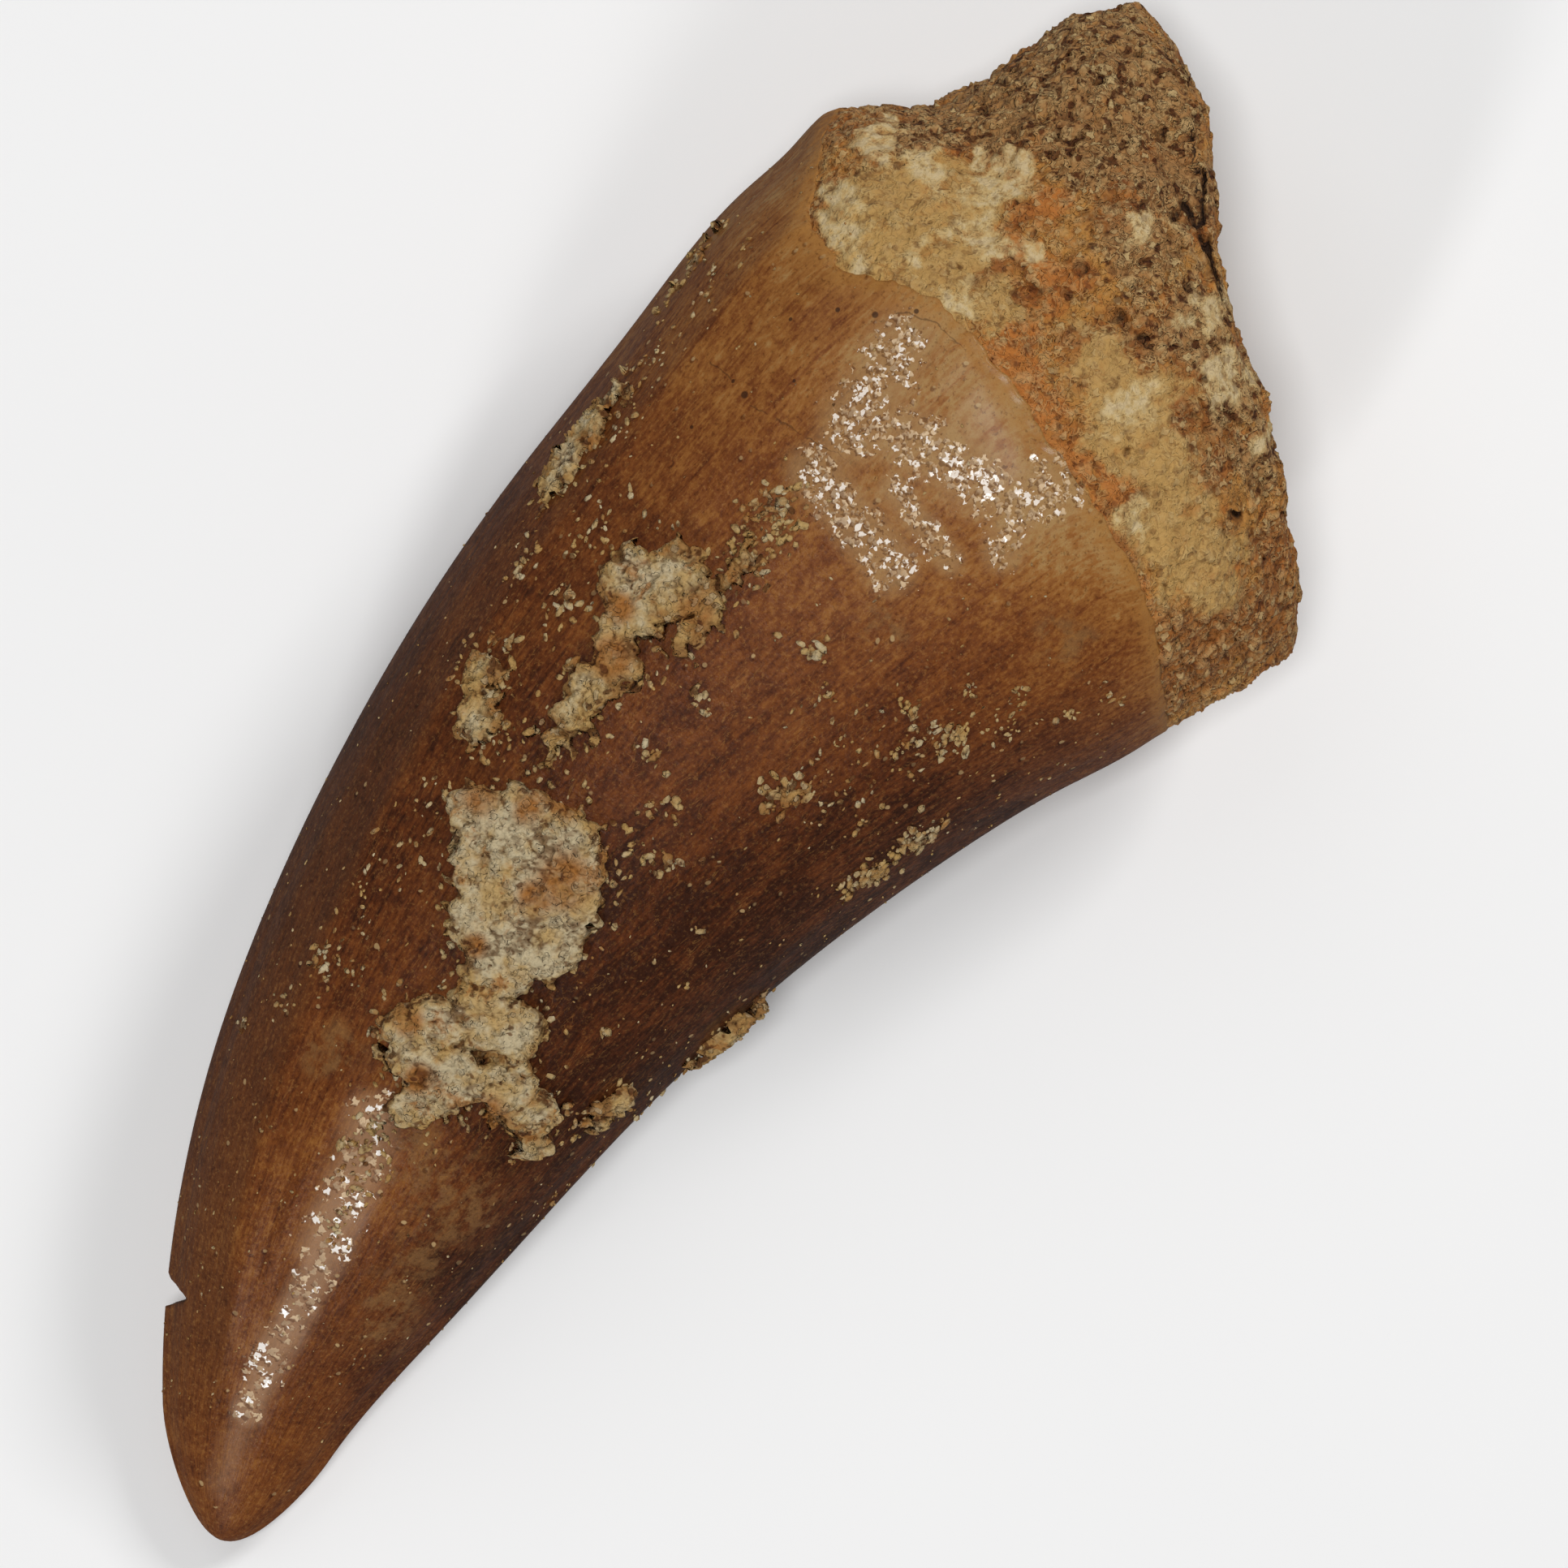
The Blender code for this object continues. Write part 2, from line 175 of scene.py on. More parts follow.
def natural_spline(knots, values, at):
    """Natural cubic spline through the values at the knots, read at other places."""
    gap = np.diff(knots)
    size = len(knots)
    matrix = np.eye(size)
    right = np.zeros(size)
    for i in range(1, size - 1):
        matrix[i, i - 1:i + 2] = gap[i - 1], 2 * (gap[i - 1] + gap[i]), gap[i]
        rise = (values[i + 1] - values[i]) / gap[i]
        fall = (values[i] - values[i - 1]) / gap[i - 1]
        right[i] = 6 * (rise - fall)
    bend = np.linalg.solve(matrix, right)
    i = np.clip(np.searchsorted(knots, at) - 1, 0, size - 2)
    a = (knots[i + 1] - at) / gap[i]
    b = 1 - a
    curve = (a**3 - a) * bend[i] + (b**3 - b) * bend[i + 1]
    return a * values[i] + b * values[i + 1] + curve * gap[i]**2 / 6


def smooth_step(value):
    value = np.clip(value, 0, 1)
    return value * value * (3 - 2 * value)


def around_table(pairs, angle):
    """A value given at a few angles in degrees, read between them."""
    angles, values = zip(*pairs)
    return np.interp(angle, angles, values, period=360)


TABLE = np.array(SECTIONS)
ALONG = np.concatenate(([0], np.cumsum(np.hypot(*np.diff(TABLE[:, :2], axis=0).T))))
CROWN_LENGTH = ALONG[CROWN_BASE]
LENGTH = ALONG[-1]
MEAN_BULGE = around_table(END_BULGE, np.arange(360)).mean()


class Sections:
    """The smooth run of the cross-sections at distances along the tooth."""

    def __init__(self, along):
        read = [natural_spline(ALONG, column, along) for column in TABLE.T]
        heading = np.radians(read[2])
        self.centre = np.stack(read[:2], axis=-1)
        self.ahead = np.stack([np.cos(heading), np.sin(heading)], axis=-1)
        self.aside = np.stack([-np.sin(heading), np.cos(heading)], axis=-1)
        rounding = np.sqrt(1 - (1 - np.minimum(along / TIP_CAP, 1))**2)
        self.width = read[3] * rounding
        self.top = read[4] * rounding * TOP_SHARE
        self.bottom = read[4] * rounding * BOTTOM_SHARE
        self.power = 2 / read[5]
        share = along / CROWN_LENGTH
        sink = BELLY_SINK * np.clip(4 * share * (1 - share), 0, 1)
        sink = sink + TIP_SINK * (1 - smooth_step(share * 3))
        sink = sink + ROOT_SINK * smooth_step(share * 2 - 1)
        self.height = read[4] * BOTTOM_SHARE - sink


def unit(vectors):
    return vectors / np.linalg.norm(vectors, axis=-1, keepdims=True)


def wall(along, angle, scale=1.0):
    """Points of the smooth wall, one for each distance and angle."""
    part = Sections(along)
    u = np.cos(angle)
    v = np.sin(angle)
    across = np.sign(u) * np.abs(u)**part.power
    up = np.sign(v) * np.abs(v)**part.power
    keel = np.minimum(KEEL, 0.1 * part.width)
    across = across * (part.width - keel) + keel * np.sign(u) * np.exp(-(up / KEEL_WIDTH)**2)
    depth = np.where(up > 0, part.top, part.bottom)
    flat = part.centre + part.aside * (across * scale)[:, None]
    return np.column_stack([flat, part.height + up * depth * scale])


def outward(along, angle):
    """Directions out of the plain oval at each distance and angle."""
    part = Sections(along)
    across = np.cos(angle) / part.width
    up = np.sin(angle) / part.bottom
    return unit(np.column_stack([part.aside * across[:, None], up]))


def broken_end(radius, angle):
    """Points and directions on the broken end, at shares of its radius."""
    rim = np.full(len(angle), LENGTH)
    ahead = np.column_stack([Sections(rim).ahead, np.zeros(len(angle))])
    bulge = MEAN_BULGE + (around_table(END_BULGE, np.degrees(angle)) - MEAN_BULGE) * radius**2
    swell = bulge * (1 - radius**5)**0.6 + np.interp(radius * np.cos(angle), *zip(*END_TRIM))
    dish = CAVITY_DEPTH * smooth_step((CAVITY_SHARE + 0.2 - radius) / 0.4)
    points = wall(rim, angle, radius) + ahead * (swell - dish)[:, None]
    turned = smooth_step((1 - radius) / 0.35)[:, None]
    return points, unit(outward(rim, angle) * (1 - turned) + ahead * turned)


def lumps(points, size, seed):
    """Smooth noise between about -1 and 1, with features of the given size."""
    places = points / size + np.array([seed, 0, 0])
    return np.array([noise.noise(place) for place in places.tolist()])


def layered(points, layers):
    return sum(height * lumps(points, size, seed) for size, height, seed in layers)


def chance(places, seed):
    """A fixed random value between 0 and 1 for each place."""
    return np.modf(np.abs(np.sin(places @ np.array([12.99, 78.23, 37.72]) + seed)) * 437.58)[0]


def cells(points, size, seed):
    """Distances to the four nearest grain centres, in grain sizes, and those centres."""
    shift = np.array([seed, 0, 0])
    found = [noise.voronoi(place) for place in (points / size + shift).tolist()]
    away = np.array([item[0] for item in found])
    centre = np.array([[tuple(point) for point in item[1]] for item in found])
    return away, (centre - shift) * size


def enamel_edge(angle):
    """Distance along the tooth at which the enamel ends."""
    return CROWN_LENGTH + around_table(ENAMEL_EDGE, np.degrees(angle))


def ring_angles(counts):
    upper, lower = counts
    return np.concatenate([
        np.linspace(0, math.pi, upper, endpoint=False),
        np.linspace(math.pi, 2 * math.pi, lower, endpoint=False),
    ])


def worn(points):
    """Points below the ground are worn off flat, as in the solid."""
    points[:, 2] = np.maximum(points[:, 2], 0)
    return points


def new_piece(name, points, faces, values):
    """A mesh object in the shared frame with named values on its points."""
    data = bpy.data.meshes.new(name)
    shift = np.array([BOX_MIDDLE[0], BOX_MIDDLE[1], 0])
    data.from_pydata(((points - shift) * MM).tolist(), [], faces)
    for label, value in values.items():
        if value.ndim == 2:
            layer = data.attributes.new(label, "FLOAT_VECTOR", "POINT")
            layer.data.foreach_set("vector", value.astype(np.float32).ravel())
        else:
            layer = data.attributes.new(label, "FLOAT", "POINT")
            layer.data.foreach_set("value", value.astype(np.float32))
    data.shade_smooth()
    piece = bpy.data.objects.new(name, data)
    bpy.context.scene.collection.objects.link(piece)
    return piece


def tube_faces(rings, columns):
    """Faces of a tube of rings, shut by a fan onto one more point at each end."""
    index = np.arange(rings * columns).reshape(rings, columns)
    beside = np.roll(index, -1, axis=1)
    quads = np.stack([index[:-1], index[1:], beside[1:], beside[:-1]], axis=-1)
    first = rings * columns
    fans = [(first, int(a), int(b)) for a, b in zip(index[0], beside[0])]
    fans += [(first + 1, int(b), int(a)) for a, b in zip(index[-1], beside[-1])]
    return quads.reshape(-1, 4).tolist() + fans


def flow(along, angle):
    """The surface rolled out: a circle around the tooth and the distance along it."""
    return np.column_stack([FLOW_RADIUS * np.cos(angle), FLOW_RADIUS * np.sin(angle), along])


def seen(points):
    """Where points appear in the picture's plane, in the sections' own x and y."""
    aim = np.array(CAMERA_AIM)
    return aim + (points[:, :2] - aim) * (CAMERA_RISE / (CAMERA_RISE - points[:, 2:] + VIEW_PLANE))


def wander(points, size, amount, seed, parts=2):
    """A push by smooth noise, in plan or in all three parts, which makes shapes irregular."""
    return amount * np.column_stack([lumps(points, size, seed + k) for k in range(parts)])


def seen_root(angle, past_rim):
    """How far each place of the root belongs to the face that the photo shows."""
    return smooth_step(np.sin(angle) * 3 + 0.6) * (1 - smooth_step((past_rim - 1.2) / 0.9))


def blots(points, spots, push=0.0):
    """Soft blots around places given by x, y and radius in the picture's plane."""
    flat = seen(points) + push
    mask = np.zeros(len(points))
    for x, y, radius in spots:
        away = np.hypot(flat[:, 0] - x, flat[:, 1] - y) / radius
        mask = np.maximum(mask, smooth_step(1.5 - away))
    return mask


def tone_field(points, tones):
    """A smooth field between listed tones: x, y, reach and value."""
    flat = seen(points)
    total = np.full(len(points), 1e-6)
    field = np.full(len(points), 0.55e-6)
    for x, y, reach, value in tones:
        weight = np.exp(-((flat[:, 0] - x)**2 + (flat[:, 1] - y)**2) / reach**2)
        total += weight
        field += weight * value
    return field / total


def closest(distances):
    """Of several signed distances, the one nearest to zero at each place."""
    distances = np.array(distances)
    nearest = np.argmin(np.abs(distances), axis=0)
    return np.take_along_axis(distances, nearest[None], axis=0)[0]


def line_distance(flat, line):
    """Distance from each place to a line through a few places, negative on its left."""
    found = []
    for start, end in zip(line, line[1:]):
        start = np.array(start)
        way = np.array(end) - start
        off = flat - start
        share = np.clip(off @ way / (way @ way), 0, 1)
        away = np.linalg.norm(off - share[:, None] * way, axis=1)
        found.append(np.where(off[:, 0] * way[1] < off[:, 1] * way[0], -away, away))
    return closest(found)


LOOK_ALONG, LOOK_ANGLE = [grid.ravel() for grid in np.meshgrid(
    np.linspace(0.2, LENGTH, 420), np.linspace(0, math.pi, 260))]
LOOK_UPPER = wall(LOOK_ALONG, LOOK_ANGLE)
LOOK_LOWER = wall(LOOK_ALONG, -LOOK_ANGLE)
LOOK_SEEN = seen(LOOK_UPPER)


def face_point(x, y, upper=True):
    """Distance, angle and point of the wall that lies at x, y on one face."""
    look = LOOK_UPPER if upper else LOOK_LOWER
    i = np.argmin(np.hypot(look[:, 0] - x, look[:, 1] - y))
    return LOOK_ALONG[i], LOOK_ANGLE[i] if upper else -LOOK_ANGLE[i], look[i]


def seen_point(x, y):
    """Distance and angle of the wall that appears at x, y in the picture's plane."""
    i = np.argmin(np.hypot(LOOK_SEEN[:, 0] - x, LOOK_SEEN[:, 1] - y))
    return LOOK_ALONG[i], LOOK_ANGLE[i]


def on_crown(x, y):
    """The point of the crown, as its object has it, that appears at x, y in the picture's plane."""
    along, angle = [np.array([part]) for part in seen_point(x, y)]
    point = wall(along, angle) + outward(along, angle) * crown_relief(along, angle)[:, None]
    return tuple(float(part) for part in point[0] - np.array([*BOX_MIDDLE, 0]))


def beside(flat, lines):
    """How near each place is to the closest of some lines: 1 on it and 0 at its half width."""
    return np.max([1 - np.abs(line_distance(flat, line)) / wide for wide, line in lines], axis=0)


def beyond(flat, start, end):
    """How far each place lies to the right of the line from start to end."""
    way = (end - start) / np.linalg.norm(end - start)
    return (flat - start) @ np.array([way[1], -way[0]])


def chipped(points, along):
    """The chip near the tip: points inside its corner move in to its faces."""
    top, inner, low = [np.array(corner) for corner in CHIP]
    flat = points[:, :2]
    inside = (along > CHIP_ALONG[0]) & (along < CHIP_ALONG[1])
    for start, end in ((top, inner), (inner, low)):
        inside &= beyond(flat, start, end) > 0
    part = Sections(along)
    middle = part.centre
    for i in np.nonzero(inside)[0]:
        line = flat[i] - middle[i]
        if line @ part.aside[i] < 0:
            continue
        for share in np.linspace(1, 0.5, 60):
            spot = middle[i] + line * share
            if beyond(spot, top, inner) <= 0 or beyond(spot, inner, low) <= 0:
                points[i, :2] = spot
                break
    return points


def crown_relief(along, angle):
    """The soft ridge by the convex edge and the faint long flutes of the enamel."""
    inward = Sections(along).width * (1 - np.cos(angle))
    band = BAND_RIDGE * np.exp(-((inward - BAND_WIDTH) / 0.6)**2) * (np.sin(angle) >= 0)
    band = band * smooth_step(along / 8)
    flutes = layered(flow(along, angle) * np.array([1, 1, FLUTE_STRETCH]), FLUTES)
    return band + flutes * smooth_step(along / 6)


def make_crown():
    """Enamel from the tip to its ragged edge, closed off inside the root."""
    angle = ring_angles(CROWN_AROUND)
    columns = len(angle)
    tip_share, tip_rings = TIP_RINGS
    share = np.sort(np.concatenate([
        tip_share * (1 - np.cos(np.linspace(0, math.pi / 2, tip_rings)[1:])),
        np.linspace(tip_share, LIP_RINGS[0], CROWN_RINGS)[1:],
        np.linspace(*CHIP_RINGS),
        LIP_RINGS[1:],
    ]))
    edge = enamel_edge(angle)
    edge = edge + layered(wall(edge, angle), EDGE_WANDER)
    along = (share[:, None] * edge[None, :]).ravel()
    around = np.tile(angle, len(share))
    points = wall(along, around)
    height = crown_relief(along, around)
    height = height - LIP_DROP * np.repeat(smooth_step((share - 0.990) / 0.010), columns)
    points = points + outward(along, around) * height[:, None]
    points = chipped(points, along)
    rings = [points]
    last = points[-columns:]
    middle = last.mean(axis=0)
    for inner in np.linspace(0.96, 0.3, CAP_RINGS):
        rings.append(middle + (last - middle) * inner)
    tip = points[:columns].mean(axis=0) - np.array(TIP_AHEAD)
    points = worn(np.vstack(rings + [tip[None], middle[None]]))
    extra = CAP_RINGS * columns + 2
    along = np.concatenate([along, np.full(extra, CROWN_LENGTH)])
    around = np.concatenate([around, np.tile(angle, CAP_RINGS), [0, 0]])
    along[-2] = 0
    faces = tube_faces(len(share) + CAP_RINGS, columns)
    return new_piece("enamel_crown", points, faces, crown_values(points, along, around))


# Tones of the enamel, from 0 for khaki to 1 for chocolate: x, y, reach and tone
ENAMEL_TONES = (
    (15.5, -0.1, 2.6, 0.00), (14.7, -3.6, 2.4, 0.06), (15.4, 3.0, 2.0, 0.06), (13.6, -6.4, 2.2, 0.14),
    (13.0, 1.0, 2.6, 0.12), (12.3, -8.4, 2.0, 0.34), (13.4, 6.4, 2.4, 0.27), (15.8, 8.8, 2.2, 0.22),
    (10.8, 1.2, 2.4, 0.26), (10.0, -3.0, 2.2, 0.38), (10.6, -6.2, 2.0, 0.46), (10.6, 8.8, 2.4, 0.40),
    (9.0, 5.4, 2.4, 0.40), (7.6, 0.6, 2.6, 0.42), (7.6, -3.4, 2.2, 0.62), (8.6, -6.8, 1.8, 0.66),
    (4.2, 0.2, 2.6, 0.58), (3.8, -3.4, 2.4, 0.76), (5.2, 8.6, 2.4, 0.58), (3.4, -6.4, 2.0, 0.88),
    (0.6, 1.0, 2.8, 0.64), (0.0, -3.6, 2.8, 0.84), (0.8, 7.6, 2.8, 0.66), (-3.6, -1.8, 2.8, 0.88),
    (-5.0, 7.6, 2.8, 0.72), (-8.2, -2.6, 2.6, 0.92), (-9.6, 6.0, 2.6, 0.70), (-3.4, -5.6, 2.2, 0.94),
    (-13.0, 4.4, 2.4, 0.58), (-13.0, -3.0, 2.2, 0.88), (-15.6, 6.4, 1.8, 0.64), (-15.6, 1.6, 2.2, 0.42),
    (-15.8, -1.2, 1.6, 0.58), (-16.6, -3.0, 1.6, 0.98), (-19.6, 2.6, 2.2, 0.48),
    (-20.0, -1.4, 2.0, 0.58), (-21.4, -3.2, 1.4, 0.78), (-23.6, 1.6, 2.2, 0.48),
    (-24.0, -1.6, 2.0, 0.54), (-27.0, -1.2, 2.0, 0.50),
)
# Spots of the enamel where they appear in the picture's plane: x, y and radius
HAZE_SPOTS = (
    (-15.3, -1.3, 1.5), (-14.9, 0.3, 1.2), (-18.9, -1.8, 0.9), (-20.0, -2.1, 0.9),
    (-17.2, -1.5, 0.9), (-13.8, 4.6, 0.9), (11.0, -5.6, 0.9), (7.8, -0.8, 0.8),
)
# Lines that the glinting flakes follow, each with its half width
LOOP_LINES = (
    (0.95, ((15.3, 4.3), (13.2, 4.0), (11.9, 3.8))),
    (0.95, ((12.4, 4.1), (13.1, 1.9), (13.3, -0.1), (13.4, -1.8), (14.7, -2.5))),
    (0.80, ((10.3, 4.0), (9.9, 2.4), (9.6, 0.8), (9.4, 0.1))),
    (0.60, ((13.4, -1.8), (12.0, -2.4))),
    (0.45, ((11.5, 1.7), (11.1, 0.4), (10.7, -1.2))),
)
STREAK_LINES = (
    (0.85, ((-14.8, 2.4), (-16.0, 1.8), (-17.7, 1.4), (-19.1, 1.0))),
    (0.60, ((-19.1, 1.0), (-20.4, 0.6), (-21.6, 0.4), (-22.8, 0.2))),
    (0.50, ((-22.8, 0.2), (-24.0, -0.1), (-24.7, -0.3))),
)
# The line by the tip along which a painted sheen lies
GLOW_LINE = ((-24.0, -0.1), (-25.4, -0.5), (-27.0, -1.0))
# Spots where flakes crowd and more of them get painted white glints: x, y and radius
GLINT_SPOTS = (
    (14.6, 3.9, 0.4), (13.0, 4.2, 0.4), (12.2, 3.6, 0.4), (13.0, 0.6, 0.5), (13.4, -0.6, 0.5),
    (13.9, -1.9, 0.4), (9.9, 3.3, 0.4), (9.6, 1.2, 0.4), (9.7, -0.3, 0.3), (-23.4, 0.1, 0.55),
    (-23.0, 0.5, 0.4), (-20.6, 0.6, 0.3), (-18.6, 0.7, 0.3), (-17.4, 1.0, 0.3),
)
DULL_SPOTS = (
    (12.0, 1.0, 3.4), (-16.0, 2.6, 3.0), (-20.0, 1.4, 3.2), (-24.0, 0.0, 3.2), (-27.0, -1.0, 2.6),
)
# Hairline cracks
CRACKS = (
    ((10.9, 8.9), (11.1, 8.2), (10.8, 7.3), (10.8, 6.6), (10.9, 5.2), (11.1, 4.2)),
    ((15.4, 5.3), (15.7, 5.1), (16.2, 4.8), (16.4, 3.8), (16.4, 2.9)),
    ((-4.6, -5.0), (-3.0, -4.2), (-0.6, -3.6), (1.4, -3.1)),
    ((3.0, 7.2), (4.6, 7.6), (6.4, 7.4), (7.7, 7.7)),
)
CRACK_REACH = 2.0             # the largest distance from a crack that is told apart
# Dark dots
DOTS = (
    (14.9, 6.5, 0.10), (15.4, 5.5, 0.13), (10.9, 7.2, 0.15), (11.0, 7.8, 0.08), (16.3, 4.6, 0.10),
    (13.6, 7.6, 0.08), (9.0, 7.9, 0.08), (12.2, 6.2, 0.07),
)


def crown_values(points, along, angle):
    """The values that the enamel's material reads from the crown's points."""
    upper = smooth_step(np.sin(angle) * 4 + 0.5)
    flat = seen(points)
    inward = Sections(np.maximum(along, 0.3)).width * (1 - np.cos(angle))
    band = 1 - smooth_step((inward - BAND_WIDTH + 0.25 + 0.4 * lumps(points, 3.0, 31)) / 0.5)
    tone = tone_field(points, ENAMEL_TONES)
    tone = tone + (1 - upper) * 0.22 * lumps(points, 5.0, 33) + 0.05 * lumps(points, 2.2, 34)
    push = wander(points, 0.8, 0.12, 61)
    far = np.full(len(points), CRACK_REACH)
    crack = closest([far] + [line_distance(flat + push, line) for line in CRACKS])
    return {
        "flow": flow(along, angle),
        "tone": tone,
        "band": band * smooth_step((along - 2) / 5) * (1 - 0.85 * smooth_step((along - 22) / 16)),
        "margin": smooth_step(1 - (enamel_edge(angle) - along) / 1.2),
        "haze": blots(points, HAZE_SPOTS, 4 * push) * upper,
        "loop": np.clip(beside(flat + push, LOOP_LINES), -1, 1) - 2 * (1 - upper),
        "streak": np.clip(beside(flat + push, STREAK_LINES), -1, 1) - 2 * (1 - upper),
        "glow": np.clip(beside(flat + push, ((0.7, GLOW_LINE),)), 0, 1) * upper,
        "glint": blots(points, GLINT_SPOTS, push) * upper,
        "polish": 1 - blots(points, DULL_SPOTS) * upper,
        "crack": np.where(upper > 0.5, crack, CRACK_REACH),
    }


# Tones of the root, as they appear in the picture's plane: x, y and radius
CREAM_SPOTS = (
    (17.1, 8.0, 0.9), (17.8, 8.8, 0.5), (20.2, 7.2, 0.8), (18.1, 5.9, 0.5), (19.6, 4.4, 0.9),
    (20.8, 5.2, 0.6), (20.2, 2.7, 0.5), (20.0, 9.0, 0.7), (18.2, -2.7, 0.9), (17.6, 3.4, 0.5),
    (21.8, 4.8, 0.6), (21.6, 6.0, 0.4), (23.0, 0.5, 0.6), (16.3, 6.9, 0.4), (15.8, -5.0, 0.5),
    (20.9, -4.5, 0.9), (21.9, -2.7, 0.7), (20.0, -6.6, 0.5),
)
YELLOW_SPOTS = (
    (18.4, 7.1, 2.0), (20.1, 5.4, 1.4), (17.6, 4.8, 1.6), (17.9, 2.9, 0.8), (16.5, 7.0, 1.1),
    (18.2, -2.7, 1.7), (15.9, -6.1, 1.6), (15.4, -7.8, 1.4), (17.4, -4.6, 1.2), (18.6, -1.0, 1.0),
)
RUST_SPOTS = (
    (17.3, 1.3, 1.3), (19.8, 1.6, 1.0), (15.9, -0.4, 1.0), (15.8, -2.2, 0.9), (14.6, -3.9, 0.8),
    (20.1, 5.9, 0.6), (21.7, 3.4, 0.9), (16.2, -3.9, 0.9), (19.9, 3.5, 0.6), (18.9, 8.2, 0.5),
    (19.4, 6.6, 0.6), (13.9, -6.4, 0.5),
)
GREY_SPOTS = (
    (25.6, 5.1, 2.5), (26.6, 3.0, 1.9), (23.3, 6.3, 1.6), (21.3, 7.9, 1.1), (24.7, 0.4, 1.4),
    (22.3, 0.0, 1.3), (21.5, -2.7, 1.3), (20.8, -5.0, 1.2), (19.3, -7.2, 1.0), (24.0, 3.5, 1.6),
)
BROWN_SPOTS = (
    (14.2, -9.4, 1.5), (12.8, -9.2, 1.1), (15.5, -10.3, 1.2), (21.0, 9.2, 1.0), (19.6, 10.0, 0.7),
)
# Pits of the root: x, y and radius
PITS = (
    (20.2, -0.7, 0.30), (20.2, -1.8, 0.26), (18.4, 4.5, 0.12), (22.4, -1.8, 0.24), (23.9, 0.0, 0.26),
    (20.7, 1.3, 0.20), (16.9, -3.6, 0.16), (20.2, -4.0, 0.22), (17.4, -7.6, 0.20), (25.9, 4.7, 0.24),
    (27.3, 4.2, 0.20), (23.9, 4.8, 0.20), (25.8, 2.0, 0.24), (16.4, 4.5, 0.20), (22.9, 7.0, 0.20),
)
PIT_DEPTH = 0.26
# Ragged cracks behind the broken rim, each with its half width
GAP_LINES = (
    (0.05, ((26.4, 1.2), (25.8, 0.7), (25.3, 0.2))),
    (0.07, ((25.6, 0.1), (25.2, -0.2), (24.75, -0.6), (24.2, -0.9))),
    (0.10, ((24.4, 0.0), (24.3, -0.45), (24.1, -0.85), (23.9, -1.25), (23.7, -1.6))),
    (0.05, ((23.7, -1.6), (23.45, -2.05), (23.1, -2.45), (22.8, -2.9))),
)
GAP_DEPTH = 0.32              # how deep those cracks are cut


def gap_distance(points):
    """Distance from the cracks behind the rim in half widths, and where such cracks are near."""
    flat = seen(points) + wander(points, 0.35, 0.16, 75)
    gap = closest([line_distance(flat, line) / wide for wide, line in GAP_LINES])
    return gap, smooth_step(2 - np.abs(gap) / 4)


def root_relief(points, along, angle, end):
    """Lumps, sand grains, worm-like ridges and pits of the root, and its cavity value."""
    past = along - enamel_edge(angle)
    under = smooth_step((-0.15 - past) / 0.4)
    clear = smooth_step(past / 0.5)
    step = LIP_DROP + 0.04 + (ENAMEL_STEP - LIP_DROP - 0.04) * smooth_step(past / 1.6)
    body = layered(points, ROOT_LUMPS) + end * layered(points, END_LUMPS)
    bent = points + wander(points, 0.5, 0.20, 51, 3)
    grain = 0
    for number, (size, seed, swell, stand, differ) in enumerate(ROOT_GRAINS):
        away, centre = cells(bent, size, seed)
        shut = smooth_step((away[:, 1] - away[:, 0]) / 0.28)
        grain = grain + swell * (0.5 - away[:, 0]) + stand * shut
        grain = grain + differ * (chance(centre[:, 0], number + 1) - 0.5) * shut
    rough = 0.09 * lumps(points, 0.36, 11)
    calm = 1 - 0.62 * np.maximum(0.6 * blots(points, YELLOW_SPOTS), blots(points, CREAM_SPOTS))
    fade = smooth_step((past + 0.1) / 0.6)
    detail = (grain + rough - 0.05) * calm * (0.35 + 0.65 * fade)
    flat = seen(points) + wander(points, 0.3, 0.10, 71)
    upper = seen_root(angle, along - LENGTH)
    ragged = 0.9 * lumps(points, 0.25, 73)
    for x, y, radius in PITS:
        away = np.hypot(flat[:, 0] - x, flat[:, 1] - y) / radius
        detail = detail - PIT_DEPTH * smooth_step(1.2 - away + ragged) * upper
    gap, torn = gap_distance(points)
    detail = detail - GAP_DEPTH * smooth_step(1.5 - np.abs(gap)) * torn * upper
    height = (body * clear + detail - step) * (1 - under) - TUCK_DEPTH * under
    return height, detail


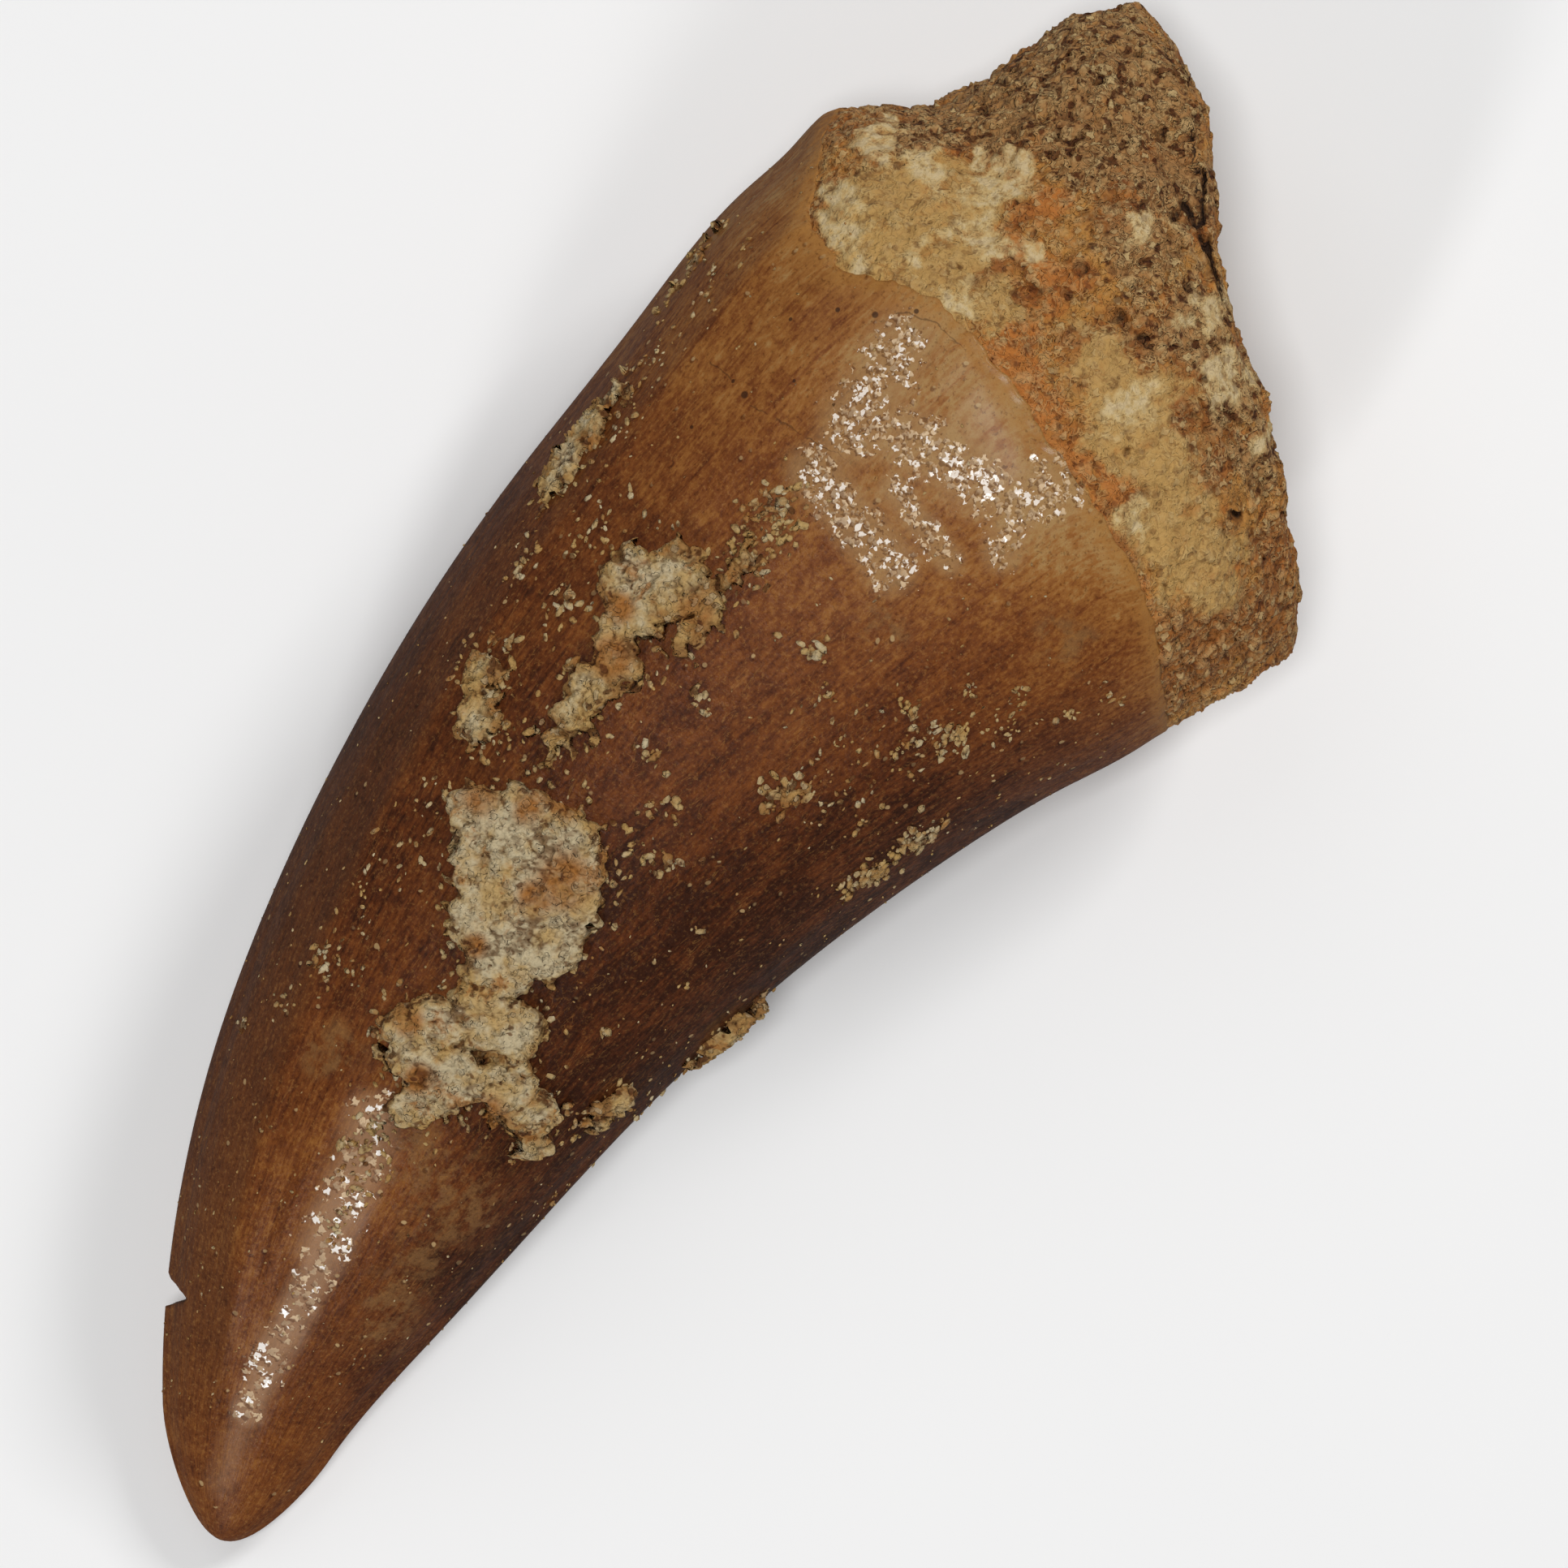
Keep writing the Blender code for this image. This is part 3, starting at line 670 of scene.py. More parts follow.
def make_root():
    """Root from under the enamel's edge to the broken end, closed inside the crown."""
    angle = ring_angles(ROOT_AROUND)
    columns = len(angle)
    start = enamel_edge(angle) - TUCK
    share = np.linspace(0, 1, ROOT_RINGS)
    along = (start[None, :] + share[:, None] * (LENGTH - start)[None, :]).ravel()
    around = np.tile(angle, ROOT_RINGS)
    side = wall(along, around)
    facing = outward(along, around)
    radius = np.repeat(1 - np.linspace(0, 1, END_RINGS + 1)[1:-1]**1.25, columns)
    end_around = np.tile(angle, END_RINGS - 1)
    end, end_facing = broken_end(radius, end_around)
    points = np.vstack([side, end])
    facing = np.vstack([facing, end_facing])
    past_rim = LENGTH + END_RUN * (1 - radius)
    along = np.concatenate([along, past_rim])
    around = np.concatenate([around, end_around])
    height, detail = root_relief(points, along, around, smooth_step(along - LENGTH))
    points = points + facing * height[:, None]
    first = points[:columns].mean(axis=0)
    last = points[-columns:].mean(axis=0)
    points = worn(np.vstack([points, first, last]))
    detail = np.append(detail, [0, 0])
    deep = np.append(along - LENGTH, [-9, END_RUN])
    upper = seen_root(np.append(around, [0, 0]), deep)
    push = wander(points, 1.1, 0.75, 81) + wander(points, 0.45, 0.35, 83)
    core = deep - END_RUN * (1 - CAVITY_SHARE) + 0.4 * lumps(points, 2.0, 85)
    core = smooth_step(core / 0.5)
    gap, torn = gap_distance(points)
    values = {"cavity": detail, "core": core, "gap": gap, "torn": torn * upper}
    for label, spots in (("cream", CREAM_SPOTS), ("yellow", YELLOW_SPOTS), ("rust", RUST_SPOTS),
                         ("grey", GREY_SPOTS), ("brown", BROWN_SPOTS)):
        values[label] = blots(points, spots, push) * upper
    return new_piece("broken_root", points, tube_faces(ROOT_RINGS + END_RINGS - 1, columns), values)


# Rusty stains on the crusts, as they appear in the picture's plane: x, y and radius
STAIN_SPOTS = (
    (-3.9, 4.5, 0.5), (-5.0, 2.2, 0.9), (-6.0, 2.6, 0.6), (-3.0, 3.6, 0.5), (-4.6, 6.0, 0.6),
    (-12.4, -0.6, 0.6), (-11.6, 3.4, 0.5), (-12.9, 2.0, 0.5), (4.4, 4.2, 0.6), (1.6, 5.4, 0.7),
    (3.0, 6.2, 0.5), (-8.4, 3.2, 0.4),
)


def inside_crust(points, places):
    """How far points lie inside the union of a crust's round lumps."""
    return np.max([r - np.linalg.norm(points - centre, axis=1) for _, _, centre, r in places], axis=0)


def inside_ragged(points, places):
    """The same for the crust's ragged outline."""
    return inside_crust(points, places) + 0.30 * lumps(points, 0.9, 7)


def held_grains(centre, places, seed):
    """Which grains the crust keeps: ragged at its rim, with strays just outside it."""
    distinct, index = np.unique(centre.round(4), axis=0, return_inverse=True)
    inside = inside_ragged(distinct, places)
    inside = inside + 3.3 * (chance(distinct, seed) - 0.5)**3
    return (inside > -0.06)[index.ravel()]


def crust_grid(places):
    """Distance and angle at each point of a fine grid over a crust."""
    along, angle, _, radius = [np.array(part) for part in zip(*places)]
    wide = Sections(along).width
    aside = (radius + CRUST_MARGIN) / wide
    low = (along - radius).min() - CRUST_MARGIN
    high = (along + radius).max() + CRUST_MARGIN
    left, right = (angle - aside).min(), (angle + aside).max()
    rows = round((high - low) / CRUST_GRID)
    columns = round((right - left) * wide.mean() / CRUST_GRID)
    return np.meshgrid(np.linspace(low, high, rows), np.linspace(left, right, columns), indexing="ij")


def crust_faces(shape, use, upper):
    """Faces of a grid between its used points, facing out."""
    index = np.arange(use.size).reshape(shape)
    corner = np.stack([index[:-1, :-1], index[1:, :-1], index[1:, 1:], index[:-1, 1:]], axis=-1)
    quads = corner.reshape(-1, 4)
    quads = quads[use[quads].all(axis=1)]
    return quads if upper else quads[:, ::-1]


def crust_patch(height, pale, spots, upper, seed):
    """One crust of sand grains over its own fine grid, still open underneath."""
    places = [face_point(x, y, upper) + (radius,) for x, y, radius in spots]
    along, angle = crust_grid(places)
    shape = along.shape
    along, angle = along.ravel(), angle.ravel()
    points = wall(along, angle)

    # The grid's points on grains that the crust keeps, thinning out at its rim
    near = np.nonzero(inside_crust(points, places) > -CRUST_MARGIN)[0]
    bent = points[near] + wander(points[near], 0.45, 0.16, seed + 11, 3)
    away, centre = cells(bent, GRAIN, seed)
    held = held_grains(centre.reshape(-1, 3), places, seed).reshape(-1, 4)
    gaps = smooth_step((away - away[:, :1]) / 0.32)
    rim = np.where(held, 1.0, gaps)[:, 1:].min(axis=1)
    kept = held[:, 0] & (rim > 0.02)
    near, rim, bent = near[kept], rim[kept], bent[kept]
    away, centre, apart = away[kept, 0], centre[kept, 0], gaps[kept, 1]
    close = points[near]
    use = np.zeros(len(points), bool)
    use[near] = True

    # Its swell, and coarse and fine grains on it with gaps between them
    tone = chance(centre, seed + 1)
    fine, fine_centre = cells(bent, 0.5 * GRAIN, seed + 2)
    fine_apart = smooth_step((fine[:, 1] - fine[:, 0]) / 0.30)
    fine_tone = chance(fine_centre[:, 0], seed + 3)
    deep = inside_ragged(close, places)
    swell = height * np.maximum(smooth_step((deep + 0.2) / 0.6), 0.20)
    body = 0.75 * layered(close, CRUST_LUMPS) * smooth_step(deep / 0.5 + 0.5)
    grain = 0.16 * (0.45 - away) + 0.20 * (tone - 0.5) * apart
    grain = grain + 0.06 * fine_apart + 0.09 * (fine_tone - 0.5) * fine_apart
    detail = body + grain + 0.05 * lumps(close, 0.14, seed + 4)
    raised = np.full(len(points), -0.2)
    raised[near] = np.maximum(swell + detail, 0.05) * rim - 0.16 * (1 - rim)

    def spread(value):
        full = np.zeros(len(points))
        full[near] = value
        return full

    values = {
        "cavity": spread(detail - 0.06 * (1 - apart)),
        "tone": spread(0.55 * tone + 0.45 * fine_tone),
        "rim": spread(smooth_step((deep + 0.1) / 0.9)),
        "pale": np.full(len(points), pale),
    }
    points = points + outward(along, angle) * raised[:, None]
    values["stain"] = spread(blots(points[near], STAIN_SPOTS) * upper)
    return points, crust_faces(shape, use, upper), values


def is_loose(point):
    return not point.link_faces


def is_pinched(point):
    return sum(edge.is_boundary for edge in point.link_edges) > 2


def drop_points(mesh, unwanted):
    bmesh.ops.delete(mesh, geom=[v for v in mesh.verts if unwanted(v)], context="VERTS")


def close_holes(piece):
    """Drop unused points and stray corners, and shut each patch underneath."""
    mesh = bmesh.new()
    mesh.from_mesh(piece.data)
    drop_points(mesh, is_loose)
    for _ in range(3):
        drop_points(mesh, is_pinched)
        drop_points(mesh, is_loose)
    bmesh.ops.holes_fill(mesh, edges=[e for e in mesh.edges if e.is_boundary], sides=0)
    ngons = [f for f in mesh.faces if len(f.verts) > 4]
    bmesh.ops.triangulate(mesh, faces=ngons)
    mesh.to_mesh(piece.data)
    mesh.free()


def make_crusts(name, crusts, upper):
    """All crusts of one face, as one piece."""
    points, faces, values = [], [], {}
    count = 0
    for number, (height, pale, spots) in enumerate(crusts):
        patch, quads, layers = crust_patch(height, pale, spots, upper, 40 + 6 * number)
        points.append(patch)
        faces.append(quads + count)
        count += len(patch)
        for label, value in layers.items():
            values.setdefault(label, []).append(value)
    values = {label: np.concatenate(parts) for label, parts in values.items()}
    piece = new_piece(name, worn(np.vstack(points)), np.vstack(faces).tolist(), values)
    close_holes(piece)
    return piece


# Loose grains on the crown, where they appear: x, y, spread, number and largest size
GRAIN_CLUSTERS = (
    (1.5, -1.6, 0.42, 42, 0.22), (6.2, -4.7, 0.50, 46, 0.17), (3.0, -5.9, 0.55, 64, 0.17),
    (1.4, -5.5, 0.50, 56, 0.16), (0.6, -5.2, 0.40, 30, 0.14), (5.8, 0.4, 0.24, 12, 0.20),
    (5.0, -0.9, 0.22, 8, 0.14), (2.2, 2.1, 0.26, 12, 0.15), (-0.1, 2.3, 0.26, 12, 0.16),
    (6.1, -3.1, 0.30, 20, 0.14), (-1.3, 1.1, 0.30, 16, 0.15), (-2.7, 0.5, 0.45, 26, 0.16),
    (-3.6, -2.1, 0.10, 3, 0.17), (-5.2, -2.9, 0.12, 3, 0.15), (-8.2, -1.8, 0.10, 3, 0.18),
    (1.9, 7.8, 0.36, 24, 0.17), (2.5, 9.4, 0.40, 20, 0.15), (-1.3, 8.3, 0.60, 60, 0.18),
    (-2.6, 6.9, 0.45, 36, 0.18), (9.2, -7.3, 0.22, 12, 0.14), (-11.8, 6.7, 0.40, 26, 0.16),
    (-11.4, 5.6, 0.20, 8, 0.12), (-14.9, 7.5, 0.22, 10, 0.13), (-13.7, 6.8, 0.26, 10, 0.13),
    (7.9, 4.2, 0.55, 60, 0.16), (8.8, 4.2, 0.42, 40, 0.16), (7.9, -4.4, 0.22, 8, 0.12),
    (8.7, -5.6, 0.20, 8, 0.12), (-15.2, 2.2, 0.50, 40, 0.16), (-16.6, 1.6, 0.45, 30, 0.15),
    (-18.4, 1.2, 0.35, 16, 0.13), (4.9, -4.0, 0.60, 26, 0.13), (3.8, -2.0, 0.80, 26, 0.12),
    (2.4, -3.6, 0.80, 26, 0.12), (7.6, -6.0, 0.60, 24, 0.12), (10.8, -8.2, 0.50, 14, 0.12),
    (4.6, 8.6, 0.80, 40, 0.13), (-6.4, 7.2, 0.90, 26, 0.12), (-9.4, 6.8, 0.80, 24, 0.12),
    (-9.0, -4.6, 0.60, 18, 0.14), (-7.4, -4.9, 0.40, 14, 0.14), (-13.0, -3.9, 0.40, 10, 0.12),
    (12.6, 10.2, 0.60, 20, 0.12), (9.8, 10.3, 0.70, 24, 0.12), (7.4, 9.8, 0.60, 20, 0.14),
)
HALO_GRAINS = 12              # grains beside each lump of a crust
DUST_GRAINS = 1300            # specks all over the crown
UNDER_CLUSTERS = 26           # clusters on the underside, which the photo doesn't show


def grain_places(rng):
    """Distance, angle and size of every loose grain."""
    wanted = []

    def cluster(along, angle, spread, count, largest):
        width = Sections(np.array([along])).width[0]
        for _ in range(count):
            step = rng.normal(0, spread, 2)
            size = largest * (0.40 + 0.75 * rng.random()**1.6)
            wanted.append((along + step[0], angle + step[1] / width, size))

    for x, y, spread, count, largest in GRAIN_CLUSTERS:
        cluster(*seen_point(x, y), spread, count, largest)
    for crusts, upper in ((UPPER_CRUSTS, True), (LOWER_CRUSTS, False)):
        for _, _, spots in crusts:
            for x, y, radius in spots:
                along, angle, _ = face_point(x, y, upper)
                width = Sections(np.array([along])).width[0]
                for _ in range(HALO_GRAINS):
                    way = rng.uniform(0, 2 * math.pi)
                    off = radius + abs(rng.normal(0.2, 0.4))
                    wanted.append((along + off * math.cos(way), angle + off * math.sin(way) / width,
                                   rng.uniform(0.05, 0.15)))
    for _ in range(UNDER_CLUSTERS):
        cluster(rng.uniform(6, 42), rng.uniform(3.4, 6.0), rng.uniform(0.2, 0.9), 22, 0.17)
    for _ in range(DUST_GRAINS):
        wanted.append((rng.uniform(4, 44), rng.uniform(0, 2 * math.pi), rng.uniform(0.025, 0.065)))
    wanted = np.array(wanted)
    top, inner, low = [np.array(corner) for corner in CHIP]
    flat = wall(wanted[:, 0], wanted[:, 1])[:, :2]
    gone = (beyond(flat, top, inner) > -0.2) & (beyond(flat, inner, low) > -0.2)
    gone &= wanted[:, 0] < CHIP_ALONG[1]
    return wanted[(wanted[:, 0] > 1) & (wanted[:, 0] < CROWN_LENGTH - 1) & ~gone]


def make_grains():
    """Single sand grains stuck to the enamel, as small angular closed stones."""
    rng = np.random.default_rng(12)
    stone = bmesh.new()
    bmesh.ops.create_icosphere(stone, subdivisions=1, radius=1.0)
    shape = np.array([v.co for v in stone.verts])
    triangles = np.array([[v.index for v in f.verts] for f in stone.faces])
    stone.free()
    wanted = grain_places(rng)
    centre = wall(wanted[:, 0], wanted[:, 1])
    facing = outward(wanted[:, 0], wanted[:, 1])
    centre = centre + facing * crown_relief(wanted[:, 0], wanted[:, 1])[:, None]
    points, faces, tones = [], [], []
    for number, (place, out) in enumerate(zip(centre, facing)):
        size = wanted[number, 2]
        aside = unit(np.cross(out, rng.normal(size=3)))
        frame_axes = np.stack([aside, np.cross(out, aside), out])
        stretch = np.array([rng.uniform(0.9, 1.7), rng.uniform(0.6, 1.0), rng.uniform(0.4, 0.8)])
        body = shape * rng.uniform(0.65, 1.2, (len(shape), 1)) * stretch * size
        points.append(place + out * size * 0.12 + body @ frame_axes)
        faces.append(triangles + number * len(shape))
        tones.append(np.full(len(shape), rng.random()))
    tones = np.concatenate(tones)
    values = {
        "tone": tones,
        "cavity": np.full(len(tones), 0.05),
        "rim": np.full(len(tones), 0.4),
        "pale": 0.40 + 0.5 * tones,
        "stain": np.zeros(len(tones)),
    }
    return new_piece("loose_grains", worn(np.vstack(points)), np.vstack(faces).tolist(), values)


SHADE_STEP = (0.08, -0.01, 0.0)       # from a shade back to the grain that it lies beside
SHADE_AND_DARK_MARK_TINT = (0.30, 0.19, 0.12)          # what painted shade, a dark speck or a dark crack leaves of each part of a colour


class Graph:
    """A material's nodes, written as short calls."""

    def __init__(self, name):
        self.material = bpy.data.materials.new(name)
        self.material.use_nodes = True
        self.tree = self.material.node_tree
        self.shader = self.tree.nodes["Principled BSDF"]
        self.colour = None    # the colour so far, which paint and darken change

    def node(self, kind, inputs, **settings):
        made = self.tree.nodes.new(kind)
        for key, value in settings.items():
            setattr(made, key, value)
        for key, value in inputs.items():
            self.feed(made.inputs[key], value)
        return made

    def feed(self, socket, value):
        if isinstance(value, bpy.types.NodeSocket):
            self.tree.links.new(value, socket)
        elif isinstance(value, tuple) and len(value) == 3 and socket.type == "RGBA":
            socket.default_value = value + (1.0,)
        else:
            socket.default_value = value

    def attribute(self, name, output="Fac"):
        return self.node("ShaderNodeAttribute", {}, attribute_name=name).outputs[output]

    def place(self):
        """The place on the object in millimetres."""
        coordinates = self.node("ShaderNodeTexCoord", {}).outputs["Object"]
        return self.scaled(coordinates, (1000, 1000, 1000))

    def scaled(self, vector, scale):
        return self.vector("MULTIPLY", vector, scale)

    def math(self, operation, a, b=0.0, clamp=False):
        made = self.node("ShaderNodeMath", {0: a, 1: b}, operation=operation, use_clamp=clamp)
        return made.outputs[0]

    def times(self, a, b):
        return self.math("MULTIPLY", a, b)

    def plus(self, a, b, clamp=False):
        return self.math("ADD", a, b, clamp)

    def minus(self, a, b, clamp=False):
        return self.math("SUBTRACT", a, b, clamp)

    def most(self, a, b):
        return self.math("MAXIMUM", a, b)

    def vector(self, operation, a, b):
        return self.node("ShaderNodeVectorMath", {0: a, 1: b}, operation=operation).outputs[0]

    def noise(self, vector, scale, detail=3.0, roughness=0.55, distortion=0.0):
        inputs = {"Vector": vector, "Scale": scale, "Detail": detail, "Roughness": roughness,
                  "Distortion": distortion}
        return self.node("ShaderNodeTexNoise", inputs).outputs[0]

    def span(self, value, low, high, to_low=0.0, to_high=1.0):
        """A value's range stretched over a new range, with soft ends."""
        inputs = {1: low, 2: high, 3: to_low, 4: to_high, "Value": value}
        return self.node("ShaderNodeMapRange", inputs, interpolation_type="SMOOTHSTEP").outputs[0]

    def mix(self, share, a, b, blend="MIX"):
        made = self.node("ShaderNodeMix", {0: share, 6: a, 7: b}, data_type="RGBA", blend_type=blend,
                         clamp_factor=True)
        return made.outputs[2]

    def bump(self, height, depth, normal=None, strength=1.0):
        inputs = {"Height": height, "Distance": depth * MM, "Strength": strength}
        if normal is not None:
            inputs["Normal"] = normal
        return self.node("ShaderNodeBump", inputs).outputs[0]

    def warped(self, vector, scale, amount):
        """The place pushed about by noise, so that cells lose their straight sides."""
        push = self.node("ShaderNodeTexNoise", {"Vector": vector, "Scale": scale, "Detail": 0.0})
        push = self.vector("SUBTRACT", push.outputs["Color"], (0.5, 0.5, 0.5))
        return self.vector("ADD", vector, self.scaled(push, (amount, amount, amount)))

    def put(self, name, value):
        self.feed(self.shader.inputs[name], value)

    def paint(self, share, tone):
        """A share of the colour so far changes to a tone."""
        self.colour = self.mix(share, self.colour, tone)

    def darken(self, share):
        """A share of the colour so far darkens as under painted shade, a dark speck or a dark crack."""
        self.paint(share, self.mix(1.0, self.colour, SHADE_AND_DARK_MARK_TINT, "MULTIPLY"))

    def ramp(self, value, stops):
        made = self.node("ShaderNodeValToRGB", {"Fac": value})
        points = made.color_ramp.elements
        points[0].position = stops[0][0]
        points[0].color = stops[0][1] + (1.0,)
        points[1].position = stops[-1][0]
        points[1].color = stops[-1][1] + (1.0,)
        for at, colour in stops[1:-1]:
            points.new(at).color = colour + (1.0,)
        return made.outputs[0]

    def strewn(self, vector, scale, size, crowd, distance="EUCLIDEAN"):
        """Grains, a crowd of all cells: where they are, and a random value for each."""
        cell = self.node("ShaderNodeTexVoronoi", {"Vector": vector, "Scale": scale}, distance=distance)
        pick = self.node("ShaderNodeSeparateXYZ", {0: cell.outputs["Color"]}).outputs
        chosen = self.math("LESS_THAN", pick[0], crowd)
        return self.times(self.span(cell.outputs["Distance"], size, size - 0.10), chosen), pick[1]

    def moved(self, vector, share):
        """The place a share of the shade's step away."""
        return self.vector("ADD", vector, tuple(share * part for part in SHADE_STEP))

    def shaded(self, vector, scale, size, crowd, distance="EUCLIDEAN"):
        """The shade beside strewn grains, on the side towards the tip."""
        return self.strewn(self.moved(vector, 1.0), scale, size + 0.04, crowd, distance)[0]

    def ridges(self, place):
        """Thin winding ridges."""
        winding = self.noise(place, 2.8, 2.0, 0.5, 0.5)
        return self.span(self.math("ABSOLUTE", self.minus(winding, 0.5)), 0.060, 0.020)

    def spot(self, place, centre, radius):
        """A round spot with a soft rim around a point."""
        made = self.node("ShaderNodeVectorMath", {0: place, 1: centre}, operation="DISTANCE")
        return self.span(made.outputs["Value"], radius, 0.6 * radius)

    def tilted(self, vector, scale, share):
        """Normals of small facets, each tilted its own way."""
        cell = self.node("ShaderNodeTexVoronoi", {"Vector": vector, "Scale": scale})
        push = self.vector("SUBTRACT", cell.outputs["Color"], (0.5, 0.5, 0.5))
        push = self.node("ShaderNodeVectorMath", {0: push, "Scale": share}, operation="SCALE")
        plain = self.node("ShaderNodeNewGeometry", {}).outputs["Normal"]
        both = self.vector("ADD", plain, push.outputs[0])
        return self.node("ShaderNodeVectorMath", {0: both}, operation="NORMALIZE").outputs[0]


def shade(red, green, blue):
    """A screen colour, each part from 0 to 255, as linear light."""
    parts = np.array([red, green, blue]) / 255
    light = np.where(parts < 0.04, parts / 12.92, ((parts + 0.055) / 1.055)**2.4)
    return tuple(light.tolist())


# Colours of the enamel, from its palest tone to its darkest
ENAMEL_RAMP = (
    (0.0, shade(158, 122, 74)), (0.25, shade(140, 90, 42)), (0.5, shade(112, 62, 27)),
    (0.75, shade(85, 43, 19)), (1.0, shade(52, 25, 12)),
)
BAND_BROWN = shade(88, 52, 28)
OLIVE = shade(122, 86, 50)
SPECK = shade(150, 104, 54)
SAND_SPECK = shade(172, 142, 98)
FLAKE_TAN = shade(208, 180, 144)
# painted white glints on some flakes
FLAKE_PAINTED_GLINT = shade(236, 228, 220)
# painted sheen along the streak, and over the loop below
STREAK_PAINTED_SHEEN = shade(164, 128, 96)
LOOP_PAINTED_SHEEN = shade(158, 126, 84)
MARGIN_OCHRE = shade(160, 112, 56)
CRACK_BROWN = shade(44, 24, 13)


def add_flakes(g, place):
    """Flakes that glint by their coat and by painted white glints, with painted sheen, painted light
    and painted shade on them: the loop of them by the root and the streak along the tip.
    """
    frayed = g.span(g.noise(place, 2.0, 3.0, 0.6), 0.30, 0.70, -0.55, 0.55)
    # Painted sheen: a pale veil along the streak and the line by the tip, and over the loop
    painted_sheen = g.span(g.attribute("streak"), -0.5, 0.7, 0.0, 0.62)
    painted_sheen = g.most(painted_sheen, g.times(g.attribute("glow"), 0.26))
    g.paint(painted_sheen, STREAK_PAINTED_SHEEN)
    g.paint(g.times(g.span(g.attribute("loop"), -0.6, 0.5), 0.50), LOOP_PAINTED_SHEEN)
    glint = g.attribute("glint")
    rare = g.span(glint, 0.0, 0.8, 0.76, 0.40)
    sharp = g.warped(place, 8.0, 0.20)
    line = g.most(g.attribute("loop"), g.attribute("streak"))
    tip = g.span(g.attribute("streak"), -1.0, -0.96)
    scale = g.span(tip, 0.0, 1.0, 5.2, 3.7)
    crowd = g.span(g.plus(line, frayed), 0.0, 0.58)
    crowd = g.times(crowd, g.span(tip, 0.0, 1.0, 0.92, 0.75))
    crowd = g.most(crowd, g.times(glint, 0.95))
    crowd = g.times(crowd, g.span(line, -0.95, -0.5))
    flake, pick = g.strewn(sharp, scale, 0.48, crowd, "CHEBYCHEV")
    # the side of each flake towards the light, for painted light and glints
    lit = g.strewn(g.moved(sharp, -0.55), scale, 0.48, crowd, "CHEBYCHEV")[0]
    under = g.shaded(sharp, scale, 0.44, crowd, "CHEBYCHEV")
    # Painted glints: the side towards the light of some flakes turns white, more of them at the glint
    # spots
    bright = g.times(g.times(flake, lit), g.math("GREATER_THAN", pick, rare))
    bright = g.times(bright, g.span(crowd, 0.15, 0.30))
    bright = g.times(bright, g.span(tip, 0.0, 1.0, 0.72, 1.0))
    # painted shade beside each flake, on the side towards the tip
    g.darken(g.times(under, 0.62))
    # Flakes tan, lighter on their side towards the light: the flakes' own colour with painted light
    face = g.times(g.span(lit, 0.0, 1.0, 0.45, 1.0), g.span(pick, 0.0, 0.85, 0.35, 1.0))
    g.paint(g.times(flake, face), FLAKE_TAN)
    g.paint(bright, FLAKE_PAINTED_GLINT)
    return sharp, flake, bright


def add_cracks(g, place):
    """Hairline cracks and dark dots."""
    crack = g.plus(g.attribute("crack"), g.span(g.noise(place, 3.0, 2.0), 0.2, 0.8, -0.06, 0.06))
    crack = g.plus(g.math("ABSOLUTE", crack), g.span(g.noise(place, 1.2, 2.0), 0.45, 0.60, 0.0, 0.05))
    g.paint(g.span(crack, 0.045, 0.01, 0.0, 0.5), CRACK_BROWN)
    for x, y, radius in DOTS:
        g.paint(g.times(g.spot(place, on_crown(x, y), radius), 0.8), CRACK_BROWN)


